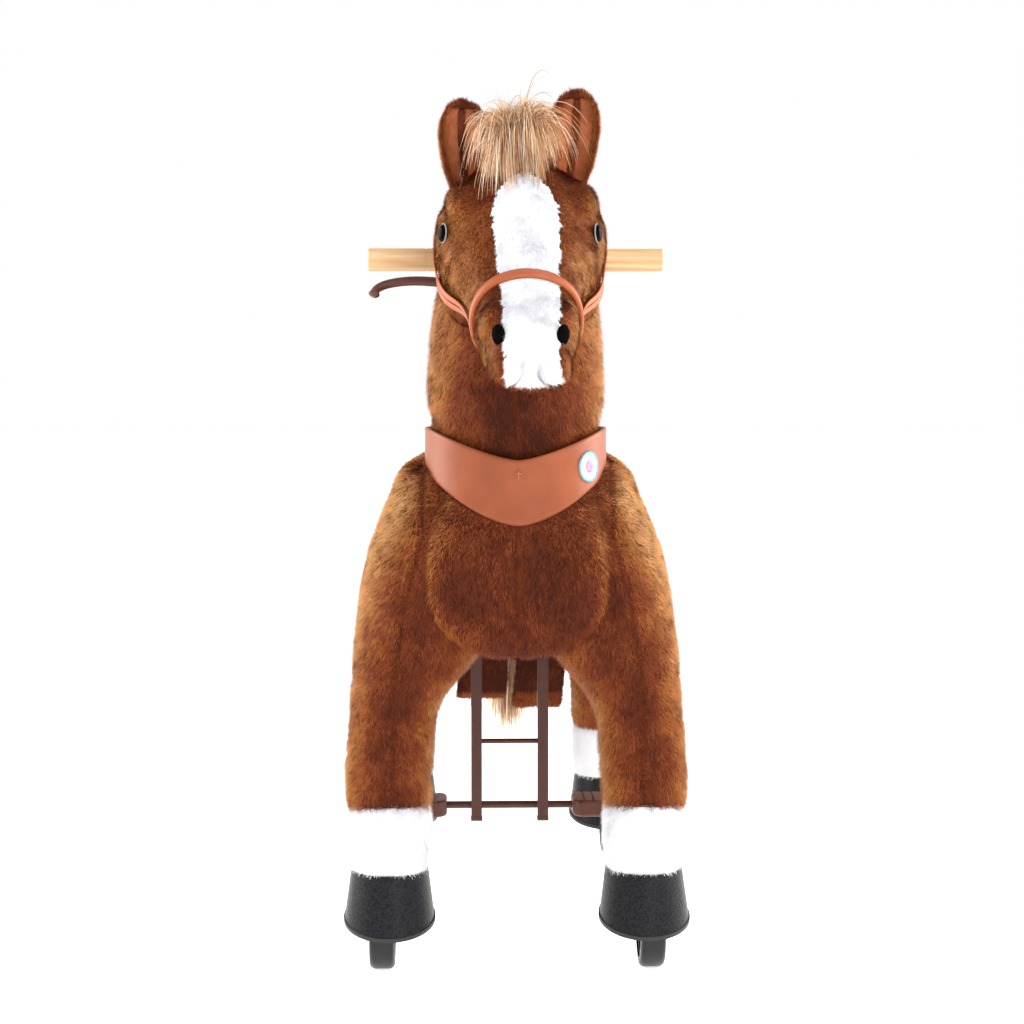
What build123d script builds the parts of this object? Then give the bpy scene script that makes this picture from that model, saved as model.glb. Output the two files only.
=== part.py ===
from build123d import *
import math
import os

# A plush ride-on horse on four wheels. +X is the horse's left, -Y is forward, +Z is up, in millimetres.
# The origin is on the floor, under the middle of the horse.

# Running gear
TRACK = 137.0            # hoof centres, either side of the middle plane
WHEEL_R = 39.0
WHEEL_W = 27.0
WHEEL_OUT = 8.0          # the wheels run this far outboard of their fork stems
STEM_R = 8.0
FORK_HEAD_R = 13.0
LEG_TUBE_R = 11.0
LEG_EYE_R = 14.0
ARM_PIN_R = 4.0
FRONT_WHEEL_Y = -240.0
REAR_WHEEL_Y = 320.0
PIVOT_Z = 400.0          # both leg axles
FRONT_PIVOT_Y = -165.0
REAR_PIVOT_Y = 245.0
AXLE_R = 7.0
RUN_CLEAR = 0.05         # radial running clearance of every pin in its hole
FIT_GAP = 0.5            # gap round a steel part that passes through stuffing

# Chassis
RAIL_X = 62.0
RAIL_W = 12.0
RAIL_H = 30.0
RAIL_FRONT_Y = -222.0
RAIL_REAR_Y = 285.0
RAIL_GAP = 2 * RAIL_X - RAIL_W
RAIL_TOP_Z = PIVOT_Z + RAIL_H / 2
BOARD_Z = 530.0
BOARD_T = 10.0

# Knee linkage and pedal ladder
KNEE_Y = 40.0
KNEE_Z = 515.0
ARM_LEN = 45.0
LADDER_X = 40.25
TUBE = 13.0
LADDER_FOOT_Z = 106.0
LADDER_TOP_Z = 528.0
CROSSHEAD_R = 5.0
PEDAL_BAR_Z = 119.0
PEDAL_BAR_R = 4.5
PEDAL_BAR_Y = KNEE_Y + TUBE / 2 + PEDAL_BAR_R
PEDAL_IN_X = 76.0
PEDAL_OUT_X = 168.0

# Steering
NECK_Y = -190.0
COLUMN_R = 12.0
SLEEVE_R = 18.0
CLAMP_SIZE = 34.0
CLAMP_LEN = 46.0
COLUMN_FOOT_Z = 416.0
HANDLE_Z = 764.0
HANDLE_R = 12.5
HANDLE_LEN = 320.0
GROOVE_X = 97.0          # a shallow groove marks where each bare grip starts
GROOVE_W = 2.0
GROOVE_D = 0.5
LEVER_X = -75.0
LEVER_DROP = 36.0        # lever pivot below and ahead of the handle's axis
LEVER_DIR = Vector(0, -0.68, -0.733)
LEVER_T = 9.0

# Soft body
TORSO_HALF = 92.0
LEG_IN_X = 92.6
HEM_Z = 176.0
HOOF_TOP_Z = 109.0
HOOF_BASE_Z = 60.0
HOOF_TILT = 12.0
RIM_T = 4.5
COLLAR_R = 98.0
COLLAR_T = 3.0
NECK_FOOT_Z = 484.0
NECK_FOOT_R = 91.5

os.makedirs("parts", exist_ok=True)


def save(piece, node):
    """Labels a finished sub-part and writes its file."""
    piece.part.label = node
    export_step(piece.part, f"parts/{node}.step")


def rod_x(radius, length, mode=Mode.ADD):
    """A round bar along X, centred on the current locations."""
    return Cylinder(radius, length, rotation=(0, 90, 0), mode=mode)


def both_sides(piece_x, y, z):
    """The two mirrored places of a piece."""
    return Locations((piece_x, y, z), (-piece_x, y, z))


# ---------------------------------------------------------------- chassis
def build_side_rails():
    """Two box rails and the rear cross member between them."""
    length = RAIL_REAR_Y - RAIL_FRONT_Y
    middle = (RAIL_REAR_Y + RAIL_FRONT_Y) / 2
    member = 20.0
    with BuildPart() as side_rails:
        with both_sides(RAIL_X, middle, PIVOT_Z):
            Box(RAIL_W, length, RAIL_H)
        with Locations((0, FRONT_PIVOT_Y, PIVOT_Z), (0, REAR_PIVOT_Y, PIVOT_Z)):
            rod_x(AXLE_R + RUN_CLEAR, 2 * RAIL_X + 2 * RAIL_W, Mode.SUBTRACT)
        with Locations((0, RAIL_REAR_Y - member / 2, PIVOT_Z)):
            Box(RAIL_GAP, member, RAIL_H)
    save(side_rails, "side_rails")


def build_neck_bracket():
    """A block between the rails with the bearing sleeve of the neck column."""
    depth = 42.0
    sleeve_top = 490.0
    with BuildPart() as neck_bracket:
        with Locations((0, NECK_Y - 11, PIVOT_Z)):
            Box(RAIL_GAP, depth, RAIL_H)
        with Locations((0, NECK_Y, (RAIL_TOP_Z + sleeve_top) / 2)):
            Cylinder(SLEEVE_R, sleeve_top - RAIL_TOP_Z)
        with Locations((0, NECK_Y, (COLUMN_FOOT_Z + sleeve_top) / 2)):
            Cylinder(COLUMN_R + RUN_CLEAR, sleeve_top - COLUMN_FOOT_Z, mode=Mode.SUBTRACT)
    save(neck_bracket, "neck_bracket")


def build_ladder_guides():
    """Two plates with square holes that keep the pedal ladder upright."""
    hole = TUBE + 0.6
    plate_t = 8.0
    with BuildPart() as ladder_guides:
        with Locations((0, KNEE_Y, PIVOT_Z - RAIL_H / 2 + plate_t / 2)):
            Box(RAIL_GAP, 50, plate_t)
        with Locations((0, KNEE_Y, RAIL_TOP_Z + 15 + plate_t / 2)):
            Box(2 * RAIL_X + RAIL_W, 50, plate_t)
        with both_sides(RAIL_X, KNEE_Y, RAIL_TOP_Z + 7.5):
            Box(RAIL_W, 50, 15)
        with both_sides(LADDER_X, KNEE_Y, PIVOT_Z):
            Box(hole, hole, 4 * RAIL_H, mode=Mode.SUBTRACT)
    save(ladder_guides, "ladder_guides")


def build_seat_frame():
    """Four posts on the rails and the board that the saddle sits on."""
    posts = [(side * RAIL_X, y) for side in (-1, 1) for y in (-60, 140)]
    with BuildPart() as seat_posts:
        with Locations([(x, y, (RAIL_TOP_Z + BOARD_Z) / 2) for x, y in posts]):
            Cylinder(6, BOARD_Z - RAIL_TOP_Z)
    save(seat_posts, "seat_posts")
    with BuildPart() as seat_board:
        with Locations((0, KNEE_Y, BOARD_Z + BOARD_T / 2)):
            Box(140, 230, BOARD_T)
        fillet(seat_board.edges().filter_by(Axis.Z), 20)
    save(seat_board, "seat_board")


# ---------------------------------------------------------------- legs
def leg_line(pivot_y, foot_y):
    """Plane at the pivot whose normal runs down the leg tube, and the tube's length."""
    top = Vector(TRACK, pivot_y, PIVOT_Z)
    foot = Vector(TRACK, foot_y, 150)
    return Plane(origin=top, x_dir=(1, 0, 0), z_dir=(foot - top)), (foot - top).length


def leg_bar(pivot_y, foot_y, grow, mode=Mode.ADD):
    """The slanted leg tube and the upright fork head under it, on the +X side."""
    plane, length = leg_line(pivot_y, foot_y)
    with BuildSketch(plane) as section:
        Circle(LEG_TUBE_R + grow)
    extrude(section.sketch, amount=length, mode=mode)
    with Locations((TRACK, foot_y, 130)):
        Cylinder(FORK_HEAD_R + grow, 70, mode=mode)


def build_leg_tubes(end, pivot_y, foot_y):
    """Leg tubes: an eye on the axle, a slanted tube and a fork head."""
    with BuildPart() as leg_tubes:
        leg_bar(pivot_y, foot_y, 0)
        with Locations((TRACK, pivot_y, PIVOT_Z)):
            rod_x(LEG_EYE_R, 30)
            rod_x(AXLE_R + RUN_CLEAR, 40, Mode.SUBTRACT)
        with Locations((TRACK, foot_y, 125)):
            Cylinder(STEM_R + RUN_CLEAR, 66, mode=Mode.SUBTRACT)
        mirror(about=Plane.YZ)
    save(leg_tubes, f"{end}_leg_tubes")


def build_axle_and_arms(end, pivot_y, pin_end_x):
    """The axle that carries both legs of one end, and the two lever arms welded on it."""
    with BuildPart() as axle:
        with Locations((0, pivot_y, PIVOT_Z)):
            rod_x(AXLE_R, 2 * TRACK + 36)
    save(axle, f"{end}_leg_axle")
    arm_x = 41.5
    arm_t = 6.0
    with BuildPart() as arms:
        with BuildSketch(Plane.YZ.offset(arm_x)):
            with Locations((pivot_y, PIVOT_Z)):
                Circle(13)
            with Locations((pivot_y, PIVOT_Z + ARM_LEN)):
                Circle(9)
            make_hull()
            with Locations((pivot_y, PIVOT_Z)):
                Circle(AXLE_R + RUN_CLEAR, mode=Mode.SUBTRACT)
        extrude(amount=arm_t)
        with BuildSketch(Plane.YZ.offset(arm_x + arm_t)):
            with Locations((pivot_y, PIVOT_Z + ARM_LEN)):
                Circle(ARM_PIN_R)
        extrude(amount=pin_end_x - arm_x - arm_t)
        mirror(about=Plane.YZ)
    save(arms, f"{end}_arms")


def build_link(end, pivot_y, inner_x):
    """A pair of flat links from the arm pins to the ladder's crosshead."""
    with BuildPart() as link:
        with BuildSketch(Plane.YZ.offset(inner_x)):
            with Locations((pivot_y, PIVOT_Z + ARM_LEN), (KNEE_Y, KNEE_Z)):
                Circle(10)
            make_hull()
            with Locations((pivot_y, PIVOT_Z + ARM_LEN)):
                Circle(ARM_PIN_R + RUN_CLEAR, mode=Mode.SUBTRACT)
            with Locations((KNEE_Y, KNEE_Z)):
                Circle(CROSSHEAD_R + 1.6, mode=Mode.SUBTRACT)
        extrude(amount=3)
        mirror(about=Plane.YZ)
    save(link, f"{end}_link")


def build_leg_plush(end, pivot_y, foot_y, disc_r, ankle_r, front_outline):
    """A stuffed leg: a round shoulder or haunch and a tapering shank, flat on the inside."""
    ankle_y = foot_y + (8 if pivot_y > foot_y else -8)
    with BuildPart() as leg_plush:
        with BuildSketch(Plane.YZ.offset(LEG_IN_X)):
            with Locations((pivot_y, PIVOT_Z)):
                Circle(disc_r)
            with Locations((ankle_y, HEM_Z + 4)):
                Circle(ankle_r)
            make_hull()
            with Locations((ankle_y, HEM_Z - 50)):
                Rectangle(200, 100, mode=Mode.SUBTRACT)
        extrude(amount=120)
        with BuildSketch(Plane.XZ.offset(-REAR_WHEEL_Y - 150)):
            with BuildLine():
                Polyline((LEG_IN_X, HEM_Z), *front_outline, (LEG_IN_X, PIVOT_Z + disc_r), close=True)
            make_face()
        extrude(amount=2 * REAR_WHEEL_Y + 300, mode=Mode.INTERSECT)
        leg_bar(pivot_y, foot_y, FIT_GAP, Mode.SUBTRACT)
        with Locations(((LEG_IN_X + TRACK + 20) / 2 - 1, pivot_y, PIVOT_Z)):
            rod_x(LEG_EYE_R + FIT_GAP, TRACK + 22 - LEG_IN_X, Mode.SUBTRACT)
        mirror(about=Plane.YZ)
    save(leg_plush, f"{end}_leg_plush")


def build_socks(end, pivot_y, foot_y):
    """Short stuffed sleeves between the leg's hem and the hoof."""
    hem_y = foot_y + (6 if pivot_y > foot_y else -6)
    with BuildPart() as socks:
        with BuildSketch(Plane.XY.offset(HEM_Z - FIT_GAP)):
            with Locations((TRACK + 1, hem_y)):
                Ellipse(43.5, 44)
        with BuildSketch(Plane.XY.offset(HOOF_TOP_Z + FIT_GAP)):
            with Locations((TRACK, foot_y)):
                Ellipse(39, 42)
        loft()
        leg_bar(pivot_y, foot_y, FIT_GAP, Mode.SUBTRACT)
        mirror(about=Plane.YZ)
    save(socks, f"{end}_socks")


def hoof_base(foot_y, drop=0.0):
    """The tilted plane of the hoof's open base, toe down."""
    tilt = math.radians(HOOF_TILT)
    normal = Vector(0, -math.sin(tilt), math.cos(tilt))
    centre = Vector(TRACK, foot_y - 8, HOOF_BASE_Z) - normal * drop
    return Plane(origin=centre, x_dir=(1, 0, 0), z_dir=normal)


def hoof_cone(foot_y, grow, top_z, mode=Mode.ADD):
    """A hoof's cone from its tilted base up to top_z."""
    with BuildSketch(hoof_base(foot_y)) as base:
        Ellipse(48 + grow, 57 + grow)
    with BuildSketch(Plane.XY.offset(top_z)) as top:
        with Locations((TRACK, foot_y + 1)):
            Ellipse(41.5 + grow, 45 + grow)
    loft([base.sketch, top.sketch], mode=mode)


def build_hooves(end, foot_y):
    """Hollow moulded hooves, open underneath, and the edging round their bases."""
    wall = 4.0
    with BuildPart() as hooves:
        hoof_cone(foot_y, 0, HOOF_TOP_Z)
        hoof_cone(foot_y, -wall, HOOF_TOP_Z - 6, Mode.SUBTRACT)
        with Locations((TRACK, foot_y, HOOF_TOP_Z)):
            Cylinder(FORK_HEAD_R + FIT_GAP, 30, mode=Mode.SUBTRACT)
        mirror(about=Plane.YZ)
    save(hooves, f"{end}_hooves")
    with BuildPart() as rims:
        with BuildSketch(hoof_base(foot_y, RIM_T)):
            Ellipse(49.2, 58.2)
            Ellipse(48 - wall, 57 - wall, mode=Mode.SUBTRACT)
        extrude(amount=RIM_T)
        mirror(about=Plane.YZ)
    save(rims, f"{end}_hoof_rims")


# ---------------------------------------------------------------- wheels
def fork_at(side, y):
    """One fork: an upright stem, and outboard of it the crown, two cheeks and a riveted wheel axle."""
    wheel_x = side * (TRACK + WHEEL_OUT)
    cheek_t = 3.0
    inside = WHEEL_W / 2 + 2
    crown_z = 84.0
    with Locations((side * TRACK, y, 122)):
        Cylinder(STEM_R, 66)
    with Locations((wheel_x, y, crown_z + 2.5)):
        Box(2 * (inside + cheek_t), 32, 5)
    for cheek_x in (wheel_x - inside - cheek_t, wheel_x + inside):
        with BuildSketch(Plane.YZ.offset(cheek_x)) as cheek:
            with Locations((y, WHEEL_R)):
                Circle(12)
            with Locations((y, (WHEEL_R + crown_z) / 2)):
                Rectangle(24, crown_z - WHEEL_R)
        extrude(cheek.sketch, amount=cheek_t)
    with Locations((wheel_x, y, WHEEL_R)):
        rod_x(4, 2 * (inside + cheek_t + 1))
    rivet = inside + cheek_t + 1.5
    with Locations((wheel_x - rivet, y, WHEEL_R), (wheel_x + rivet, y, WHEEL_R)):
        rod_x(7, 3)


def build_forks():
    """Two steering forks in front and a fixed pair behind."""
    for side, name in ((1, "left"), (-1, "right")):
        with BuildPart() as fork:
            fork_at(side, FRONT_WHEEL_Y)
        save(fork, f"front_fork_{name}")
    with BuildPart() as rear_forks:
        fork_at(1, REAR_WHEEL_Y)
        fork_at(-1, REAR_WHEEL_Y)
    save(rear_forks, "rear_forks")


def build_wheel(name, x, y):
    """A tyre on its hub."""
    hub_r = 29.0
    with BuildPart() as tyre:
        with Locations((x, y, WHEEL_R)):
            rod_x(WHEEL_R, WHEEL_W)
        fillet(tyre.edges(), 6)
        with Locations((x, y, WHEEL_R)):
            rod_x(hub_r + RUN_CLEAR, WHEEL_W, Mode.SUBTRACT)
    save(tyre, f"{name}_tyre")
    with BuildPart() as hub:
        with Locations((x, y, WHEEL_R)):
            rod_x(hub_r, WHEEL_W - 4)
        dish = WHEEL_W / 2 - 3
        with Locations((x - dish, y, WHEEL_R), (x + dish, y, WHEEL_R)):
            rod_x(hub_r - 5, 5, Mode.SUBTRACT)
        with Locations((x, y, WHEEL_R)):
            rod_x(10, WHEEL_W + 3)
            rod_x(4 + RUN_CLEAR, 2 * WHEEL_W, Mode.SUBTRACT)
    save(hub, f"{name}_hub")


# ---------------------------------------------------------------- pedal ladder
def build_ladder():
    """Two square tubes with end caps, cross bars, the crosshead, and the pedals on their bar."""
    length = LADDER_TOP_Z - LADDER_FOOT_Z
    with BuildPart() as ladder_tubes:
        with both_sides(LADDER_X, KNEE_Y, LADDER_FOOT_Z + length / 2):
            Box(TUBE, TUBE, length)
        with Locations((0, KNEE_Y, KNEE_Z)):
            rod_x(CROSSHEAD_R + RUN_CLEAR, 200, Mode.SUBTRACT)
    save(ladder_tubes, "ladder_tubes")

    with BuildPart() as end_caps:
        with both_sides(LADDER_X, KNEE_Y, LADDER_FOOT_Z - 2):
            Box(TUBE + 1, TUBE + 1, 4)
        fillet(end_caps.faces().sort_by(Axis.Z)[:2].edges(), 1.5)
    save(end_caps, "ladder_end_caps")

    inner = 2 * LADDER_X - TUBE
    with BuildPart() as cross_bars:
        with Locations((0, KNEE_Y, 199), (0, KNEE_Y, 365)):
            rod_x(3, inner)
        with Locations((0, KNEE_Y, KNEE_Z)):
            rod_x(CROSSHEAD_R, 112)
    save(cross_bars, "ladder_cross_bars")

    with BuildPart() as pedal_bar:
        with Locations((0, PEDAL_BAR_Y, PEDAL_BAR_Z)):
            rod_x(PEDAL_BAR_R, 2 * PEDAL_OUT_X - 10)
    save(pedal_bar, "pedal_bar")

    width = PEDAL_OUT_X - PEDAL_IN_X
    groove_count = 7
    with BuildPart() as pedals:
        with Locations(((PEDAL_IN_X + PEDAL_OUT_X) / 2, PEDAL_BAR_Y, PEDAL_BAR_Z)):
            Box(width, 62, 20)
            fillet(pedals.edges().filter_by(Axis.Z), 14)
            fillet(pedals.faces().sort_by(Axis.Z)[-1].edges(), 4)
            fillet(pedals.faces().sort_by(Axis.Z)[0].edges(), 4)
        for i in range(groove_count):
            with Locations((PEDAL_IN_X + 14 + i * 11, PEDAL_BAR_Y, PEDAL_BAR_Z + 10)):
                Box(3, 70, 3, mode=Mode.SUBTRACT)
        with Locations((PEDAL_IN_X + width / 2 - 5, PEDAL_BAR_Y, PEDAL_BAR_Z)):
            rod_x(PEDAL_BAR_R + RUN_CLEAR, width + 0.2, Mode.SUBTRACT)
        mirror(about=Plane.YZ)
    save(pedals, "pedals")


# ---------------------------------------------------------------- torso
TORSO_OUTLINE = [(-299, 445), (-283, 382), (-215, 348), (-60, 336), (120, 334), (270, 345),
                 (345, 390), (362, 455), (330, 522), (225, 556), (110, 556), (20, 550),
                 (-90, 560), (-200, 556), (-272, 508)]


def build_torso():
    """The stuffed trunk round the chassis, with a barrel between the legs and a seat for the neck."""
    with BuildPart() as torso:
        with BuildSketch(Plane.YZ):
            with BuildLine():
                Spline(*TORSO_OUTLINE, periodic=True)
            make_face()
        extrude(amount=TORSO_HALF, both=True)
        fillet(torso.faces().filter_by(Axis.X).edges(), 15)
        for side in (1, -1):
            with BuildSketch(Plane.YZ.offset(side * (TORSO_HALF - 8))):
                with Locations((32, 447)):
                    Ellipse(80, 97)
            with BuildSketch(Plane.YZ.offset(side * 126)):
                with Locations((32, 450)):
                    Ellipse(46, 60)
            loft()
        with Locations((0, 33, 421)):
            Box(143, 520, 98, mode=Mode.SUBTRACT)
        with Locations((0, 15, 500)):
            Box(143, 400, 86, mode=Mode.SUBTRACT)
        with Locations((0, KNEE_Y, 350)):
            Box(2 * LADDER_X + TUBE + 8, TUBE + 8, 60, mode=Mode.SUBTRACT)
        with Locations((0, FRONT_PIVOT_Y, PIVOT_Z), (0, REAR_PIVOT_Y, PIVOT_Z)):
            rod_x(AXLE_R + 2, 220, Mode.SUBTRACT)
        with Locations((0, NECK_Y, 530)):
            Cylinder(COLLAR_R + COLLAR_T + 4.5, 120, mode=Mode.SUBTRACT)
        with Locations((0, NECK_Y, 465)):
            Cylinder(SLEEVE_R + 1, 30, mode=Mode.SUBTRACT)
    save(torso, "torso_plush")
    return torso


def build_saddle(torso):
    """The seat pad on the back, shaped to the trunk under it."""
    with BuildPart() as saddle:
        with BuildSketch(Plane.YZ):
            with BuildLine():
                Line((-80, 548), (-76, 584))
                Spline((-76, 584), (-20, 582), (40, 575), (100, 582), (154, 596))
                Line((154, 596), (160, 548))
                Line((160, 548), (-80, 548))
            make_face()
        extrude(amount=78, both=True)
        fillet(saddle.edges().filter_by(GeomType.BSPLINE), 9)
        add(torso.part, mode=Mode.SUBTRACT)
    save(saddle, "saddle")


def build_collar():
    """A leather band round the foot of the neck, dropping to a point on the chest, and its round patch."""
    with BuildPart() as collar:
        with Locations((0, NECK_Y, 530)):
            Cylinder(COLLAR_R + COLLAR_T, 130)
            Cylinder(COLLAR_R, 130, mode=Mode.SUBTRACT)
        with BuildSketch(Plane.YZ):
            with BuildLine():
                Polyline((-300, 471), (NECK_Y, 531), (-80, 531), (-80, 580), (NECK_Y, 580),
                         (-300, 543), close=True)
            make_face()
        extrude(amount=120, both=True, mode=Mode.INTERSECT)
    save(collar, "collar")

    turn = math.radians(50)
    outward = Vector(math.sin(turn), -math.cos(turn), 0)
    centre = Vector(0, NECK_Y, 541) + outward * (COLLAR_R + COLLAR_T + 0.1)
    with BuildPart() as patch:
        with BuildSketch(Plane(origin=centre, x_dir=(0, 0, 1), z_dir=outward)):
            Circle(17)
        extrude(amount=1.6)
    save(patch, "collar_patch")


def build_tail_and_flaps(torso):
    """The tail, the two hemmed flaps that hang between the hind legs, and a blank care label."""
    sections = [(506, 342, 13), (430, 398, 26), (330, 407, 22.5), (180, 402, 7)]
    with BuildPart() as tail:
        for z, y, radius in sections:
            with BuildSketch(Plane.XY.offset(z)):
                with Locations((0, y)):
                    Circle(radius)
        loft()
        add(torso.part, mode=Mode.SUBTRACT)
    save(tail, "tail")

    with BuildPart() as flaps:
        with both_sides(39, 296, 285):
            Box(70, 8, 140)
        add(torso.part, mode=Mode.SUBTRACT)
    save(flaps, "belly_flaps")

    with BuildPart() as label:
        with Locations((-40, 290, 212)):
            Box(14, 1, 16)
    save(label, "care_label")


# ---------------------------------------------------------------- steering column and brake lever
def build_column_and_handle():
    """Neck column, the clamp on its top, and the wooden handle."""
    column_top = HANDLE_Z - CLAMP_SIZE / 2
    with BuildPart() as column:
        with Locations((0, NECK_Y, (COLUMN_FOOT_Z + column_top) / 2)):
            Cylinder(COLUMN_R, column_top - COLUMN_FOOT_Z)
    save(column, "neck_column")
    with BuildPart() as handle_clamp:
        with Locations((0, NECK_Y, HANDLE_Z)):
            Box(CLAMP_LEN, CLAMP_SIZE, CLAMP_SIZE)
            fillet(handle_clamp.edges().filter_by(Axis.X), 6)
            rod_x(HANDLE_R + RUN_CLEAR, 60, Mode.SUBTRACT)
    save(handle_clamp, "handle_clamp")
    with BuildPart() as handle:
        with Locations((0, NECK_Y, HANDLE_Z)):
            rod_x(HANDLE_R, HANDLE_LEN)
        chamfer(handle.edges(), 1)
        with both_sides(GROOVE_X, NECK_Y, HANDLE_Z):
            rod_x(HANDLE_R + 1, GROOVE_W, Mode.SUBTRACT)
            rod_x(HANDLE_R - GROOVE_D, GROOVE_W)
    save(handle, "handle_bar")


def lever_plane(shift=0.0):
    """Plane of the lever's travel. Its normal is the lever's hinge axis, and its +y points away from the handle."""
    pivot = Vector(LEVER_X, NECK_Y, HANDLE_Z) + LEVER_DIR * LEVER_DROP
    axis = Vector(0, 0.733, -0.68)
    return Plane(origin=pivot + axis * shift, x_dir=(1, 0, 0), z_dir=axis)


def build_brake():
    """The lever's bracket, clamped on the handle, with its riveted pin, and the curved lever with its ball end."""
    with BuildPart() as bracket:
        with Locations((LEVER_X, NECK_Y, HANDLE_Z)):
            rod_x(17, 14)
            rod_x(HANDLE_R + RUN_CLEAR, 20, Mode.SUBTRACT)
        for shift in (-8.5, 5.5):
            with BuildSketch(lever_plane(shift)):
                with Locations((0, -17.5)):
                    Rectangle(12, 13)
                with Locations((0, -5)):
                    Rectangle(12, 12)
                Circle(7)
            extrude(amount=3)
        with BuildSketch(lever_plane(-8.5)):
            Circle(3)
        extrude(amount=17)
    save(bracket, "lever_bracket")

    with BuildPart() as lever:
        with BuildSketch(lever_plane(-LEVER_T / 2)):
            with BuildLine():
                FilletPolyline((0, 0), (-34, -3), (-63, 0), (-77, 16), radius=14)
            trace(line_width=LEVER_T)
            Circle(7)
            with Locations((-77, 16)):
                Circle(7)
            Circle(3 + RUN_CLEAR, mode=Mode.SUBTRACT)
        extrude(amount=LEVER_T)
    save(lever, "brake_lever")


# ---------------------------------------------------------------- neck and head
HEAD_TOP = Vector(0, -228, 812)
HEAD_END = Vector(0, -403, 657)
HEAD_SECTIONS = [(-0.17, 56, 50), (0.0, 84, 70), (0.22, 93, 76), (0.45, 84, 66), (0.68, 62, 52), (0.92, 51, 46),
                 (1.06, 44, 40)]


def head_plane(t):
    """Cross section plane of the head, at a share t of the way from the poll to the muzzle."""
    origin = HEAD_TOP + (HEAD_END - HEAD_TOP) * t
    return Plane(origin=origin, x_dir=(1, 0, 0), z_dir=HEAD_END - HEAD_TOP)


def head_loft(grow, mode=Mode.ADD):
    """The head's stuffed form, grown or shrunk by an even skin."""
    sections = []
    for t, wide, deep in HEAD_SECTIONS:
        with BuildSketch(head_plane(t)) as section:
            Ellipse(wide + grow, deep + grow)
        sections.append(section.sketch)
    loft(sections, mode=mode)


def clear_steering():
    """Takes the room of the column, clamp, handle and lever bracket out of the stuffing."""
    with Locations((0, NECK_Y, 610)):
        Cylinder(COLUMN_R + FIT_GAP, 280, mode=Mode.SUBTRACT)
    with Locations((0, NECK_Y, HANDLE_Z)):
        Box(CLAMP_LEN + 1, CLAMP_SIZE + 1, CLAMP_SIZE + 1, mode=Mode.SUBTRACT)
        rod_x(HANDLE_R + FIT_GAP, 260, Mode.SUBTRACT)
    with Locations((LEVER_X - 5, NECK_Y - 16, HANDLE_Z - 12)):
        Box(42, 74, 74, mode=Mode.SUBTRACT)


def build_neck():
    """The stuffed neck: a round foot that turns inside the collar, and an oval upper neck."""
    with BuildPart() as neck:
        with Locations((0, NECK_Y, (NECK_FOOT_Z + 540) / 2)):
            Cylinder(NECK_FOOT_R, 540 - NECK_FOOT_Z)
        sections = [(540, -190, 91.5, 91.5), (620, -192, 94, 92), (700, -200, 88, 84), (780, -212, 74, 76),
                    (822, -214, 56, 60)]
        for z, y, wide, deep in sections:
            with BuildSketch(Plane.XY.offset(z)):
                with Locations((0, y)):
                    Ellipse(wide, deep)
        loft()
        with Locations((0, NECK_Y, 480)):
            Cylinder(SLEEVE_R + 1, 24, mode=Mode.SUBTRACT)
        clear_steering()
    save(neck, "neck_plush")
    return neck


def build_head(neck):
    """The head with its white blaze, eyes and nostrils."""
    eye = [(side * 86, -282, 786) for side in (-1, 1)]
    nostril = [(side * 34, -420, 676) for side in (-1, 1)]
    with BuildPart() as blaze:
        head_loft(1.4)
        head_loft(0.3, Mode.SUBTRACT)
        with BuildSketch(Plane.YZ):
            with BuildLine():
                Polyline((-250, 900), (-235, 800), (-398, 650), (-388, 600), (-520, 560), (-520, 900),
                         close=True)
            make_face()
        extrude(amount=28, both=True, mode=Mode.INTERSECT)
    save(blaze, "blaze")

    with BuildPart() as head:
        head_loft(0)
        add(neck.part, mode=Mode.SUBTRACT)
        clear_steering()
    save(head, "head_plush")

    with BuildPart() as eyes:
        with Locations(eye):
            Sphere(11)
        head_loft(0, Mode.SUBTRACT)
    save(eyes, "eyes")
    with BuildPart() as nostrils:
        with Locations(nostril):
            Sphere(8)
        head_loft(1.4, Mode.SUBTRACT)
    save(nostrils, "nostrils")


def build_bridle():
    """Noseband and cheek straps."""
    band = [(0.60, 69.5, 57), (0.655, 64.5, 54)]
    with BuildPart() as noseband:
        for grow, mode in ((4.0, Mode.ADD), (1.6, Mode.SUBTRACT)):
            for t, wide, deep in band:
                with BuildSketch(head_plane(t)):
                    Ellipse(wide + grow, deep + grow)
            loft(mode=mode)
    save(noseband, "noseband")
    with BuildPart() as cheek_straps:
        head_loft(3.6)
        head_loft(1.6, Mode.SUBTRACT)
        with BuildSketch(Plane.YZ):
            with BuildLine():
                Polyline((-320, 707), (-329, 716), (-256, 778), (-247, 768), close=True)
            make_face()
        extrude(amount=120, both=True, mode=Mode.INTERSECT)
    save(cheek_straps, "cheek_straps")


def build_ears(neck):
    """Two upright ears with suede linings."""
    sections = [(822, 19, 13), (870, 23.5, 14), (915, 20.5, 11), (945, 8, 5), (949.5, 2, 2)]
    with BuildPart() as ears:
        for z, wide, deep in sections:
            with BuildSketch(Plane.XY.offset(z)):
                with Locations((52 + (z - 822) * 0.1, -222)):
                    Ellipse(wide, deep)
        loft()
        with Locations((60, -246, 900)):
            Box(80, 40, 90, mode=Mode.SUBTRACT)
        mirror(about=Plane.YZ)
        head_loft(0, Mode.SUBTRACT)
        add(neck.part, mode=Mode.SUBTRACT)
    save(ears, "ears")
    with BuildPart() as linings:
        with BuildSketch(Plane.XZ.offset(226.2)):
            with Locations((59, 897)):
                Ellipse(15, 36)
        extrude(amount=2)
        mirror(about=Plane.YZ)
    save(linings, "ear_linings")


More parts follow.
